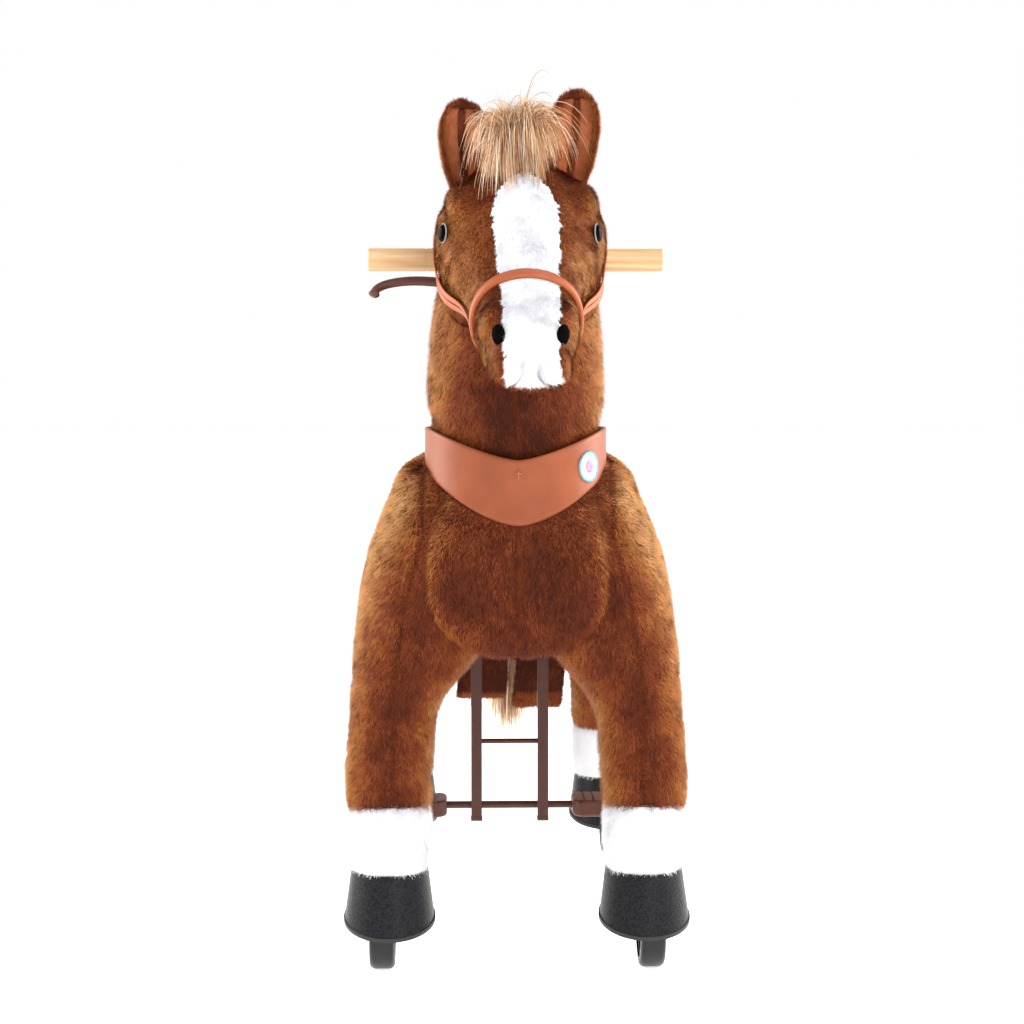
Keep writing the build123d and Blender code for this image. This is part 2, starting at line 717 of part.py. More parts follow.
def build_hair(neck):
    """Forelock on the poll and mane down the back of the neck."""
    with BuildPart() as forelock:
        for z, y, wide, deep in [(838, -268, 30, 12), (870, -256, 34, 16), (912, -240, 26, 12)]:
            with BuildSketch(Plane.XY.offset(z)):
                with Locations((0, y)):
                    Ellipse(wide, deep)
        loft()
        head_loft(2, Mode.SUBTRACT)
        add(neck.part, mode=Mode.SUBTRACT)
    save(forelock, "forelock")
    with BuildPart() as mane:
        with BuildSketch(Plane.YZ):
            with BuildLine():
                Spline((-150, 862), (-112, 790), (-82, 700), (-78, 600))
                Line((-78, 600), (-96, 600))
                Spline((-96, 600), (-108, 690), (-140, 780), (-175, 838))
                Line((-175, 838), (-150, 862))
            make_face()
        extrude(amount=16, both=True)
        add(neck.part, mode=Mode.SUBTRACT)
        head_loft(0.3, Mode.SUBTRACT)
        with Locations((0, NECK_Y, HANDLE_Z)):
            rod_x(HANDLE_R + FIT_GAP, 260, Mode.SUBTRACT)
    save(mane, "mane")


FRONT_LEG_OUTLINE = [(186, HEM_Z), (185, 300), (176, 400), (164, 440), (126, 505)]
REAR_LEG_OUTLINE = [(180, HEM_Z), (176, 300), (166, 400), (152, 450), (118, 515)]

build_side_rails()
build_neck_bracket()
build_ladder_guides()
build_seat_frame()
for end_name, pivot, foot, radius, ankle, outline, pin_x, link_x in (
    ("front", FRONT_PIVOT_Y, FRONT_WHEEL_Y, 105, 46, FRONT_LEG_OUTLINE, 51.3, 48.0),
    ("rear", REAR_PIVOT_Y, REAR_WHEEL_Y, 117, 44, REAR_LEG_OUTLINE, 55.0, 51.6),
):
    build_leg_tubes(end_name, pivot, foot)
    build_axle_and_arms(end_name, pivot, pin_x)
    build_link(end_name, pivot, link_x)
    build_leg_plush(end_name, pivot, foot, radius, ankle, outline)
    build_socks(end_name, pivot, foot)
    build_hooves(end_name, foot)
    for side_name, wheel_side in (("left", 1), ("right", -1)):
        build_wheel(f"{end_name}_{side_name}", wheel_side * (TRACK + WHEEL_OUT), foot)
build_forks()
build_ladder()
trunk = build_torso()
build_saddle(trunk)
build_collar()
build_tail_and_flaps(trunk)
build_column_and_handle()
build_brake()
neck_part = build_neck()
build_head(neck_part)
build_bridle()
build_ears(neck_part)
build_hair(neck_part)
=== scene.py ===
import math

import bpy
import numpy as np
from mathutils import Matrix, Vector
from mathutils.bvhtree import BVHTree


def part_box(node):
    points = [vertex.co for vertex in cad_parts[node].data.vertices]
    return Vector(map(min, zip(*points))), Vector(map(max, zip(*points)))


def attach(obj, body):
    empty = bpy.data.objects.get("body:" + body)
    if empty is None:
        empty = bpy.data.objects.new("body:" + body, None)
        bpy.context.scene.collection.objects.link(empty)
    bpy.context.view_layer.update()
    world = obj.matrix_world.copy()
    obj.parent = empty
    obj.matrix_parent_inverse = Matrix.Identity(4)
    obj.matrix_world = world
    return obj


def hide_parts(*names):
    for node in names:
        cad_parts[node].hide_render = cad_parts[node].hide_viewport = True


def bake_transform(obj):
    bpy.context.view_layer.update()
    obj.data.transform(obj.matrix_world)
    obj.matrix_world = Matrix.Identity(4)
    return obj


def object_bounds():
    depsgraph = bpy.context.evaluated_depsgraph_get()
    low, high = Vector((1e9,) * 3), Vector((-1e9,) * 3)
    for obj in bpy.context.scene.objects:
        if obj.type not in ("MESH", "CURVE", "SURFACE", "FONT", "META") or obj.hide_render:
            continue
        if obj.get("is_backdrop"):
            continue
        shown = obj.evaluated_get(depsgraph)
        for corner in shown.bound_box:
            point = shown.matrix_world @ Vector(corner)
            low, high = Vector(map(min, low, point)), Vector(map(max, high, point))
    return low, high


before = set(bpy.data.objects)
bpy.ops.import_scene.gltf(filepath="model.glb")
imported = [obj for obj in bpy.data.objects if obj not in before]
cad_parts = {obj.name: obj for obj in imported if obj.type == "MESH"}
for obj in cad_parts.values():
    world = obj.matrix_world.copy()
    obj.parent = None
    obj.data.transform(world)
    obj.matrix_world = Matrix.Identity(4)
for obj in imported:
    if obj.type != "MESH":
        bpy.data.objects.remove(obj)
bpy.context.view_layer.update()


# Plush ride-on horse: the looks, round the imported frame. Metres, the horse faces -Y, +X is its left.
NECK_Y = sum(c.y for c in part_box("neck_column")) / 2
FRONT_FOOT_Y = sum(c.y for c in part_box("front_left_tyre")) / 2
REAR_FOOT_Y = sum(c.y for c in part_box("rear_left_tyre")) / 2
HOOF_HALF_WIDTH = 0.048
TRACK = round(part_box("front_hooves")[1].x - HOOF_HALF_WIDTH, 4)  # hoof centres, from the middle plane
RING_POINTS = 56
SIDES = ((1, "left"), (-1, "right"))


# ---------------------------------------------------------------- mesh helpers
def mesh_object(name, verts, faces, smooth=True):
    """A linked object from vertex and face lists."""
    mesh = bpy.data.meshes.new(name)
    mesh.from_pydata([tuple(v) for v in verts], [], [tuple(f) for f in faces])
    mesh.validate()
    if smooth:
        mesh.polygons.foreach_set("use_smooth", [True] * len(mesh.polygons))
    obj = bpy.data.objects.new(name, mesh)
    bpy.context.scene.collection.objects.link(obj)
    return obj


def through(stations, steps):
    """Rows between the given rows, on a smooth curve through them."""
    rows = np.array(stations, float)
    ends = np.vstack([2 * rows[0] - rows[1], rows, 2 * rows[-1] - rows[-2]])
    out = []
    for i in range(len(rows) - 1):
        a, b, c, d = ends[i:i + 4]
        for t in np.linspace(0, 1, steps, endpoint=False):
            out.append(0.5 * (2 * b + (c - a) * t + (2 * a - 5 * b + 4 * c - d) * t * t
                              + (3 * b - a - 3 * c + d) * t ** 3))
    out.append(rows[-1])
    return np.array(out)


def ring(centre, across, up, wide, high, power=2.0, points=RING_POINTS):
    """A closed superellipse round a centre."""
    turn = np.linspace(0, 2 * math.pi, points, endpoint=False)
    c, s = np.cos(turn), np.sin(turn)
    u = np.sign(c) * np.abs(c) ** (2 / power) * wide
    v = np.sign(s) * np.abs(s) ** (2 / power) * high
    return np.array(centre) + u[:, None] * np.array(across) + v[:, None] * np.array(up)


def loft(name, rings, closed_ends=True):
    """Quads between rings of equal length, with fans over both ends."""
    rings = [np.array(r) for r in rings]
    n = len(rings[0])
    verts = np.vstack(rings)
    faces = []
    for i in range(len(rings) - 1):
        for j in range(n):
            k = (j + 1) % n
            faces.append((i * n + j, i * n + k, (i + 1) * n + k, (i + 1) * n + j))
    if closed_ends:
        verts = np.vstack([verts, rings[0].mean(0), rings[-1].mean(0)])
        first, last = len(verts) - 2, len(verts) - 1
        top = (len(rings) - 1) * n
        for j in range(n):
            k = (j + 1) % n
            faces.append((first, k, j))
            faces.append((last, top + j, top + k))
    return mesh_object(name, verts, faces)


def baked(obj):
    """The object with its modifiers applied."""
    graph = bpy.context.evaluated_depsgraph_get()
    mesh = bpy.data.meshes.new_from_object(obj.evaluated_get(graph))
    obj.modifiers.clear()
    before, obj.data = obj.data, mesh
    bpy.data.meshes.remove(before)
    return obj


def coords(obj):
    out = np.zeros(len(obj.data.vertices) * 3)
    obj.data.vertices.foreach_get("co", out)
    return out.reshape(-1, 3)


def normals(obj):
    out = np.zeros(len(obj.data.vertices) * 3)
    obj.data.vertices.foreach_get("normal", out)
    return out.reshape(-1, 3)


def fuse(name, parts, voxel=0.004, smoothing=12):
    """Overlapping closed forms fused into one soft skin."""
    verts, faces, base = [], [], 0
    for part in parts:
        verts.append(coords(part))
        faces += [tuple(base + v for v in p.vertices) for p in part.data.polygons]
        base += len(part.data.vertices)
        bpy.data.objects.remove(part)
    obj = mesh_object(name, np.vstack(verts), faces)
    remesh = obj.modifiers.new("fuse", "REMESH")
    remesh.mode = "VOXEL"
    remesh.voxel_size = voxel
    remesh.use_smooth_shade = True
    soften = obj.modifiers.new("soften", "SMOOTH")
    soften.factor = 0.5
    soften.iterations = smoothing
    return baked(obj)


# ---------------------------------------------------------------- noise on a lattice
LATTICE_CELLS = 24
LATTICE = np.random.default_rng(11).random((4, LATTICE_CELLS, LATTICE_CELLS, LATTICE_CELLS))


def noise(points, size, channel=0):
    """Smooth value noise from 0 to 1, with cells of the given size."""
    p = points / size
    cell = np.floor(p).astype(int)
    f = p - cell
    f = f * f * (3 - 2 * f)
    total = np.zeros(len(points))
    for dx in (0, 1):
        for dy in (0, 1):
            for dz in (0, 1):
                weight = (np.where(dx, f[:, 0], 1 - f[:, 0]) * np.where(dy, f[:, 1], 1 - f[:, 1])
                          * np.where(dz, f[:, 2], 1 - f[:, 2]))
                index = (cell + [dx, dy, dz]) % LATTICE_CELLS
                total += weight * LATTICE[channel, index[:, 0], index[:, 1], index[:, 2]]
    return total


# ---------------------------------------------------------------- materials
def linear(r, g, b):
    """A display colour from 0 to 255 as a scene colour."""
    return tuple(((c / 255 + 0.055) / 1.055) ** 2.4 if c > 10 else c / 3294 for c in (r, g, b)) + (1,)


def plain(name, colour, roughness, **sockets):
    """A principled material with even values."""
    mat = bpy.data.materials.new(name)
    mat.use_nodes = True
    shader = mat.node_tree.nodes["Principled BSDF"]
    shader.inputs["Base Color"].default_value = colour
    shader.inputs["Roughness"].default_value = roughness
    for socket, value in sockets.items():
        shader.inputs[socket.replace("_", " ")].default_value = value
    return mat


def coloured(tree, source, first, last):
    """The base colour from a value; first and last are each a position and a colour."""
    ramp = tree.nodes.new("ShaderNodeValToRGB")
    for stop, (position, colour) in zip(ramp.color_ramp.elements, (first, last)):
        stop.position, stop.color = position, colour
    tree.links.new(source, ramp.inputs["Fac"])
    tree.links.new(ramp.outputs["Color"], tree.nodes["Principled BSDF"].inputs["Base Color"])


def pressed(tree, height, strength, distance, invert=False):
    """Bump from a height."""
    press = tree.nodes.new("ShaderNodeBump")
    press.invert = invert
    press.inputs["Strength"].default_value = strength
    press.inputs["Distance"].default_value = distance
    tree.links.new(height, press.inputs["Height"])
    tree.links.new(press.outputs["Normal"], tree.nodes["Principled BSDF"].inputs["Normal"])


def patterned(name, dark, light, scale, roughness, bump=0.3, bump_scale=None, stretch=(1, 1, 1), rough_span=0.1,
              distortion=0.0, **sockets):
    """A principled material whose colour, roughness and bump follow noise at a real size."""
    mat = plain(name, light, roughness, **sockets)
    tree = mat.node_tree
    nodes, links = tree.nodes, tree.links
    place = nodes.new("ShaderNodeTexCoord")
    mapping = nodes.new("ShaderNodeMapping")
    mapping.inputs["Scale"].default_value = stretch
    links.new(place.outputs["Object"], mapping.inputs["Vector"])
    tone, grain = (nodes.new("ShaderNodeTexNoise") for _ in range(2))
    for texture, texture_scale, detail in ((tone, scale, 6.0), (grain, bump_scale or scale * 4, 3.0)):
        texture.inputs["Scale"].default_value = texture_scale
        texture.inputs["Detail"].default_value = detail
        links.new(mapping.outputs["Vector"], texture.inputs["Vector"])
    tone.inputs["Distortion"].default_value = distortion
    coloured(tree, tone.outputs["Fac"], (0.3, dark), (0.7, light))
    rough = nodes.new("ShaderNodeMapRange")
    rough.inputs["To Min"].default_value = roughness - rough_span
    rough.inputs["To Max"].default_value = roughness + rough_span
    links.new(tone.outputs["Fac"], rough.inputs["Value"])
    links.new(rough.outputs["Result"], nodes["Principled BSDF"].inputs["Roughness"])
    pressed(tree, grain.outputs["Fac"], bump, 0.001)
    return mat


def pebbled(name, dark, light, cell, roughness, bump, **sockets):
    """Pebbled leather: rounded cells, with painted shade darkening the creases between them."""
    mat = plain(name, light, roughness, **sockets)
    tree = mat.node_tree
    place = tree.nodes.new("ShaderNodeTexCoord")
    cells = tree.nodes.new("ShaderNodeTexVoronoi")
    cells.inputs["Scale"].default_value = 1 / cell
    tree.links.new(place.outputs["Object"], cells.inputs["Vector"])
    coloured(tree, cells.outputs["Distance"], (0.25, light), (0.75, dark))
    pressed(tree, cells.outputs["Distance"], bump, 0.0006, invert=True)
    return mat


FUR_SHADES = [
    plain("fur_deep", linear(70, 27, 13), 0.7, Specular_IOR_Level=0.15),
    plain("fur_chestnut", linear(104, 45, 20), 0.65, Specular_IOR_Level=0.15),
    plain("fur_copper", linear(138, 66, 28), 0.6, Specular_IOR_Level=0.18),
    plain("fur_gold", linear(170, 102, 42), 0.55, Specular_IOR_Level=0.2),
    plain("fur_tip", linear(198, 138, 68), 0.5, Specular_IOR_Level=0.25),
]
WHITE_SHADES = [
    plain("pile_shadow", linear(243, 243, 248), 0.8),
    plain("pile_white", linear(250, 250, 253), 0.8),
    plain("pile_bright", linear(255, 255, 255), 0.75),
]
HAIR_SHADES = [
    plain("hair_brown", linear(150, 92, 54), 0.5),
    plain("hair_tan", linear(204, 152, 104), 0.45),
    plain("hair_blond", linear(236, 200, 158), 0.45),
    plain("hair_cream", linear(252, 238, 214), 0.4),
]
PLUSH_SKIN = patterned("plush_backing", linear(58, 22, 10), linear(96, 42, 18), 180, 0.85, bump=0.8,
                       bump_scale=900, stretch=(1, 1, 0.35), Specular_IOR_Level=0.1)
WHITE_SKIN = patterned("white_backing", linear(238, 238, 244), linear(252, 252, 254), 220, 0.85, bump=0.4,
                       bump_scale=900, stretch=(1, 1, 0.4))
HAIR_SKIN = patterned("hair_backing", linear(120, 76, 44), linear(206, 160, 112), 300, 0.7, bump=0.8,
                      bump_scale=900, stretch=(1, 1, 0.2))
COLLAR_LEATHER = patterned("collar_leather", linear(136, 68, 38), linear(150, 78, 46), 26, 0.40, bump=0.10,
                           bump_scale=1600, Specular_IOR_Level=0.3, rough_span=0.06)
TAN_LEATHER = patterned("tan_leather", linear(158, 80, 44), linear(174, 92, 54), 26, 0.42, bump=0.10,
                        bump_scale=1600, Specular_IOR_Level=0.3, rough_span=0.06)
SADDLE_LEATHER = pebbled("saddle_leather", linear(62, 30, 18), linear(104, 56, 34), 0.0022, 0.5, 0.35)
HOOF_LEATHER = pebbled("hoof_leather", linear(21, 21, 24), linear(36, 37, 41), 0.0024, 0.36, 0.45,
                       Specular_IOR_Level=0.14)
EDGING = patterned("hoof_edging", linear(8, 8, 9), linear(22, 22, 24), 400, 0.55, bump=0.2)
SUEDE = patterned("ear_suede", linear(140, 66, 26), linear(184, 98, 46), 90, 0.8, bump=0.3, bump_scale=1500,
                  Sheen_Weight=0.5)
FRAME_PAINT = patterned("frame_paint", linear(70, 38, 29), linear(80, 45, 35), 90, 0.36, bump=0.12,
                        bump_scale=1400, Specular_IOR_Level=0.3)
FRAME_PLASTIC = patterned("frame_plastic", linear(70, 34, 23), linear(88, 46, 32), 60, 0.42, bump=0.15,
                          bump_scale=1200, Specular_IOR_Level=0.35)
BLACK_STEEL = patterned("black_steel", linear(30, 30, 31), linear(52, 52, 54), 80, 0.4, bump=0.12,
                        bump_scale=1400)
ZINC = patterned("zinc_plate", linear(150, 152, 156), linear(196, 198, 202), 70, 0.3, bump=0.1,
                 bump_scale=900, Metallic=1.0)
CHROME = patterned("chrome_plate", linear(196, 198, 202), linear(226, 228, 232), 50, 0.16, bump=0.04,
                   bump_scale=600, rough_span=0.05, Metallic=1.0)
TYRE = patterned("tyre_rubber", linear(8, 9, 10), linear(18, 19, 21), 70, 0.35, bump=0.2, bump_scale=900,
                 Specular_IOR_Level=0.35)
HUB = patterned("hub_plastic", linear(40, 41, 44), linear(66, 67, 70), 60, 0.4, bump=0.1, bump_scale=900)
PLY = patterned("plywood", linear(178, 136, 92), linear(214, 178, 132), 40, 0.6, bump=0.2,
                stretch=(1, 0.1, 1))
DARK_PLASTIC = patterned("dark_plastic", linear(28, 28, 30), linear(46, 46, 48), 60, 0.45, bump=0.12,
                         bump_scale=900)
WOOD = patterned("handle_wood", linear(190, 150, 106), linear(226, 196, 152), 150, 0.5, bump=0.15,
                 bump_scale=900, stretch=(0.05, 1, 1), distortion=0.4, Specular_IOR_Level=0.3)
EYE = patterned("eye_gloss", linear(3, 3, 4), linear(10, 7, 6), 120, 0.07, bump=0.0, rough_span=0.02,
                Specular_IOR_Level=0.02)
EYE_RIM = patterned("eye_rim", linear(110, 104, 98), linear(150, 146, 142), 200, 0.35, bump=0.05)
FELT = patterned("nostril_felt", linear(3, 3, 3), linear(14, 13, 13), 700, 0.9, bump=0.6,
                 Specular_IOR_Level=0.02)
PATCH = patterned("patch_cloth", linear(222, 206, 178), linear(244, 234, 214), 260, 0.75, bump=0.4,
                  bump_scale=1500)
PATCH_EDGE = patterned("patch_edge", linear(84, 160, 214), linear(120, 190, 232), 300, 0.6, bump=0.4,
                       bump_scale=1500)
PATCH_DOT = patterned("patch_dot", linear(226, 120, 160), linear(240, 150, 184), 300, 0.6, bump=0.4,
                      bump_scale=1500)
LABEL = patterned("label_ribbon", linear(226, 226, 226), linear(246, 246, 244), 300, 0.6, bump=0.3,
                  bump_scale=1500)
THREAD = patterned("thread", linear(150, 74, 40), linear(196, 104, 62), 900, 0.6, bump=0.4)


def dress(obj, material):
    obj.data.materials.clear()
    obj.data.materials.append(material)
    return obj


# ---------------------------------------------------------------- fur
def scatter(skin, count, seed, keep=None):
    """Even random points on a skin with their normals. keep(points) may drop some."""
    mesh = skin.data
    mesh.calc_loop_triangles()
    tri = np.zeros(len(mesh.loop_triangles) * 3, np.int32)
    mesh.loop_triangles.foreach_get("vertices", tri)
    tri = tri.reshape(-1, 3)
    co, no = coords(skin), normals(skin)
    a, b, c = co[tri[:, 0]], co[tri[:, 1]], co[tri[:, 2]]
    area = np.linalg.norm(np.cross(b - a, c - a), axis=1)
    rng = np.random.default_rng(seed)
    pick = rng.choice(len(tri), count, p=area / area.sum())
    u, v = rng.random(count), rng.random(count)
    flip = u + v > 1
    u[flip], v[flip] = 1 - u[flip], 1 - v[flip]
    w = 1 - u - v
    t = tri[pick]
    points = co[t[:, 0]] * w[:, None] + co[t[:, 1]] * u[:, None] + co[t[:, 2]] * v[:, None]
    ups = no[t[:, 0]] * w[:, None] + no[t[:, 1]] * u[:, None] + no[t[:, 2]] * v[:, None]
    ups /= np.linalg.norm(ups, axis=1)[:, None] + 1e-9
    if keep is not None:
        chosen = keep(points)
        points, ups = points[chosen], ups[chosen]
    return points, ups, rng


def unit(v):
    return v / (np.linalg.norm(v, axis=1)[:, None] + 1e-9)


def grow_fur(name, skin, count, seed, shades, length=0.009, width=0.0008, lift=0.5, flow=(0, 0, -1),
             tint=None, keep=None, jitter=0.55, bald=None):
    """Short pile: a thin blade at each random point, leaning along the flow in soft tufts."""
    points, ups, rng = scatter(skin, count, seed, keep)
    n = len(points)
    along = np.array(flow(points) if callable(flow) else np.tile(flow, (n, 1)), float)
    tuft = np.stack([noise(points, 0.011, k) - 0.5 for k in range(3)], 1)
    along = along + 1.7 * jitter * tuft + jitter * rng.normal(0, 0.5, (n, 3))
    along -= ups * np.sum(along * ups, 1)[:, None]
    along = unit(along)
    rise = np.clip(lift + rng.normal(0, 0.13, n) + 0.5 * (noise(points, 0.013, 3) - 0.5), 0.12, 1.2)[:, None]
    lean = unit(along + ups * rise)
    side = unit(np.cross(lean, ups)) * (width / 2 * rng.uniform(0.7, 1.4, n))[:, None]
    reach = length * rng.uniform(0.65, 1.2, n)
    if bald is not None:
        reach *= bald(points)
    root = points - ups * 0.0008
    tip = points + lean * reach[:, None]
    verts = np.stack([root - side, root + side, tip], 1).reshape(-1, 3)
    level = 0.26 * noise(points, 0.022, 1) + 0.16 * noise(points, 0.006, 2) + 0.29 * rng.random(n) + 0.02
    # tint paints light and shade: it moves the shade choice by position and facing.
    if tint is not None:
        level = level + tint(points, ups)
    slot = np.clip((level * len(shades) / 1.05).astype(int), 0, len(shades) - 1)
    mesh = bpy.data.meshes.new(name)
    mesh.vertices.add(3 * n)
    mesh.vertices.foreach_set("co", verts.astype(np.float32).ravel())
    mesh.loops.add(3 * n)
    mesh.loops.foreach_set("vertex_index", np.arange(3 * n, dtype=np.int32))
    mesh.polygons.add(n)
    mesh.polygons.foreach_set("loop_start", np.arange(0, 3 * n, 3, dtype=np.int32))
    mesh.polygons.foreach_set("material_index", slot.astype(np.int32))
    mesh.polygons.foreach_set("use_smooth", np.ones(n, bool))
    mesh.update(calc_edges=True)
    soft = unit(ups * 0.8 + lean * 0.35)
    mesh.normals_split_custom_set(np.repeat(soft, 3, axis=0).astype(np.float32).tolist())
    for shade in shades:
        mesh.materials.append(shade)
    obj = bpy.data.objects.new(name, mesh)
    bpy.context.scene.collection.objects.link(obj)
    return obj


def strands(name, roots, directions, lengths, shades, seed, segments=6, width=0.0012, droop=0.9, curl=0.35):
    """Long locks: ribbons that start along their directions, fall under gravity and taper."""
    rng = np.random.default_rng(seed)
    n = len(roots)
    at = np.array(roots, float)
    heading = unit(np.array(directions, float))
    wander = rng.normal(0, 1, (n, 3)) * curl
    step = (np.array(lengths) / segments)[:, None]
    rows = []
    for i in range(segments + 1):
        taper = width * (1 - (i / segments) ** 2) + 0.0002
        side = unit(np.cross(heading, wander + [0.3, 0.2, 0.1])) * taper / 2
        rows.append((at - side, at + side))
        swing = np.sin(i * 0.9 + wander[:, :1] * 3)
        heading = unit(heading + np.array([0, 0, -droop / segments]) + wander * 0.22 * swing)
        at = at + heading * step
    verts = np.concatenate([np.concatenate(r) for r in rows])
    faces, slots = [], []
    pick = np.clip((rng.random(n) ** 0.85 * len(shades)).astype(int), 0, len(shades) - 1)
    for i in range(segments):
        base, nxt = i * 2 * n, (i + 1) * 2 * n
        k = np.arange(n)
        faces.append(np.stack([base + k, base + n + k, nxt + n + k, nxt + k], 1))
        slots.append(pick)
    obj = mesh_object(name, verts, np.concatenate(faces))
    for shade in shades:
        obj.data.materials.append(shade)
    obj.data.polygons.foreach_set("material_index", np.concatenate(slots).astype(np.int32))
    return obj


# ---------------------------------------------------------------- skins
def blob(name, centre, radii, lean=0.0):
    """A closed ellipsoid, leaning about the X axis."""
    axis = np.array([0, -math.sin(lean), math.cos(lean)])
    across = np.array([0, math.cos(lean), math.sin(lean)])
    rings = [ring(np.array(centre) + axis * radii[2] * math.sin(a), (1, 0, 0), across,
                  radii[0] * math.cos(a), radii[1] * math.cos(a))
             for a in np.linspace(-math.pi / 2, math.pi / 2, 20)[1:-1]]
    return loft(name, rings)


def upright(name, rows, power=2.1):
    """A loft of level sections given as z, x, half width, y, half depth."""
    return loft(name, [ring((x, y, z), (1, 0, 0), (0, 1, 0), wide, deep, power)
                       for z, x, wide, y, deep in through(rows, 5)])


TORSO_ROWS = [  # y, z, half width, half height
    (-0.293, 0.410, 0.058, 0.050), (-0.286, 0.414, 0.084, 0.068), (-0.270, 0.423, 0.097, 0.083),
    (-0.250, 0.435, 0.103, 0.096), (-0.225, 0.446, 0.107, 0.107), (-0.170, 0.452, 0.112, 0.112),
    (-0.090, 0.448, 0.119, 0.109), (0.000, 0.445, 0.123, 0.107), (0.080, 0.445, 0.124, 0.107),
    (0.160, 0.448, 0.121, 0.109), (0.240, 0.452, 0.115, 0.109), (0.310, 0.455, 0.098, 0.098),
    (0.343, 0.455, 0.070, 0.076), (0.358, 0.455, 0.035, 0.040)]
FRONT_LEG_ROWS = [  # z, x, half width, y, half depth
    (0.174, 0.1385, 0.0440, -0.234, 0.043), (0.200, 0.1385, 0.0450, -0.232, 0.044),
    (0.230, 0.1370, 0.0455, -0.228, 0.046), (0.270, 0.1335, 0.0460, -0.222, 0.050),
    (0.300, 0.1255, 0.0515, -0.216, 0.058), (0.335, 0.1100, 0.0660, -0.204, 0.070),
    (0.370, 0.1010, 0.0715, -0.192, 0.081), (0.400, 0.0965, 0.0730, -0.182, 0.090),
    (0.440, 0.0895, 0.0720, -0.173, 0.098), (0.480, 0.0820, 0.0660, -0.166, 0.095),
    (0.510, 0.0785, 0.0565, -0.160, 0.086), (0.535, 0.0780, 0.0470, -0.158, 0.068),
    (0.552, 0.074, 0.026, -0.156, 0.040)]
REAR_LEG_ROWS = [  # as the front legs
    (0.176, 0.1350, 0.0420, 0.314, 0.042), (0.215, 0.1345, 0.0430, 0.308, 0.045),
    (0.260, 0.1320, 0.0450, 0.300, 0.050), (0.320, 0.1160, 0.0580, 0.285, 0.074),
    (0.370, 0.1030, 0.0670, 0.271, 0.092), (0.410, 0.0950, 0.0690, 0.262, 0.103),
    (0.450, 0.0860, 0.0670, 0.254, 0.107), (0.500, 0.0740, 0.0560, 0.244, 0.094),
    (0.535, 0.0620, 0.0340, 0.238, 0.056)]
NECK_ROWS = [  # as the front legs
    (0.490, 0, 0.0880, NECK_Y, 0.0880), (0.540, 0, 0.0880, NECK_Y, 0.0880),
    (0.582, 0, 0.0885, NECK_Y, 0.0885), (0.617, 0, 0.0940, -0.192, 0.0930),
    (0.656, 0, 0.0925, -0.196, 0.0890), (0.696, 0, 0.0890, -0.201, 0.0840),
    (0.725, 0, 0.0840, -0.204, 0.0800), (0.780, 0, 0.0700, -0.211, 0.0720),
    (0.818, 0, 0.0520, -0.214, 0.0560)]
HEAD_TOP = np.array([0, -0.228, 0.812])
HEAD_END = np.array([0, -0.403, 0.657])
HEAD_ALONG = (HEAD_END - HEAD_TOP) / np.linalg.norm(HEAD_END - HEAD_TOP)
HEAD_OUT = np.array([0, HEAD_ALONG[2], -HEAD_ALONG[1]])
HEAD_LEN = float(np.linalg.norm(HEAD_END - HEAD_TOP))
HEAD_ROWS = [  # share of the length, half width, half depth, lift of the centre
    (-0.17, 0.043, 0.044, -0.002), (0.00, 0.070, 0.065, 0.0), (0.14, 0.0865, 0.073, 0.0),
    (0.28, 0.0890, 0.071, -0.002), (0.44, 0.079, 0.063, -0.003), (0.58, 0.062, 0.055, -0.001),
    (0.72, 0.0545, 0.049, 0.0), (0.88, 0.051, 0.045, 0.0), (1.00, 0.044, 0.042, 0.0),
    (1.08, 0.034, 0.034, 0.0)]


def head_point(t, across, out):
    """A point of the head: share of its length, sideways, and out towards the brow."""
    return HEAD_TOP + HEAD_ALONG * (t * HEAD_LEN) + np.array([across, 0, 0]) + HEAD_OUT * out


def make_head():
    """A tapered core with brows, jaws, nostril rises and lips fused on."""
    core = loft("head_core", [ring(head_point(t, 0, lift), (1, 0, 0), HEAD_OUT, wide, deep, 2.15)
                              for t, wide, deep, lift in through(HEAD_ROWS, 5)])
    lumps = []
    for s in (1, -1):
        lumps.append(blob("brow", head_point(0.19, s * 0.056, 0.043), (0.024, 0.032, 0.020), 0.7))
        lumps.append(blob("jaw", head_point(0.36, s * 0.046, -0.034), (0.038, 0.050, 0.036), 0.8))
        lumps.append(blob("nostril_rise", head_point(0.90, s * 0.032, 0.016), (0.019, 0.024, 0.026), 0.8))
        lumps.append(blob("lip", head_point(1.08, s * 0.024, 0.004), (0.0175, 0.026, 0.022), 0.8))
    return fuse("head_plush_skin", [core, *lumps], 0.0035, 14)


def mirrored(rows):
    return [(z, -x, wide, y, deep) for z, x, wide, y, deep in rows]


torso_core = loft("torso_core", [ring((0, y, z), (1, 0, 0), (0, 0, 1), wide, high, 2.4)
                                 for y, z, wide, high in through(TORSO_ROWS, 5)])
board_rise = blob("board_rise", (0, 0.04, 0.541), (0.096, 0.160, 0.015))  # the back over the seat board
torso = fuse("torso_plush_skin", [torso_core, board_rise], 0.005, 10)
front_left = fuse("front_left_leg_skin", [upright("leg", FRONT_LEG_ROWS)], 0.005, 6)
front_right = fuse("front_right_leg_skin", [upright("leg", mirrored(FRONT_LEG_ROWS))], 0.005, 6)
rear_left = fuse("rear_left_leg_skin", [upright("leg", REAR_LEG_ROWS)], 0.005, 6)
rear_right = fuse("rear_right_leg_skin", [upright("leg", mirrored(REAR_LEG_ROWS))], 0.005, 6)
neck = fuse("neck_plush_skin", [upright("neck_core", NECK_ROWS)], 0.0045, 8)
head = make_head()
for skin in (torso, front_left, front_right, rear_left, rear_right, neck, head):
    dress(skin, PLUSH_SKIN)


# ---------------------------------------------------------------- straps and bands
def surface_of(obj):
    faces = [tuple(p.vertices) for p in obj.data.polygons]
    return BVHTree.FromPolygons([tuple(c) for c in coords(obj)], faces)


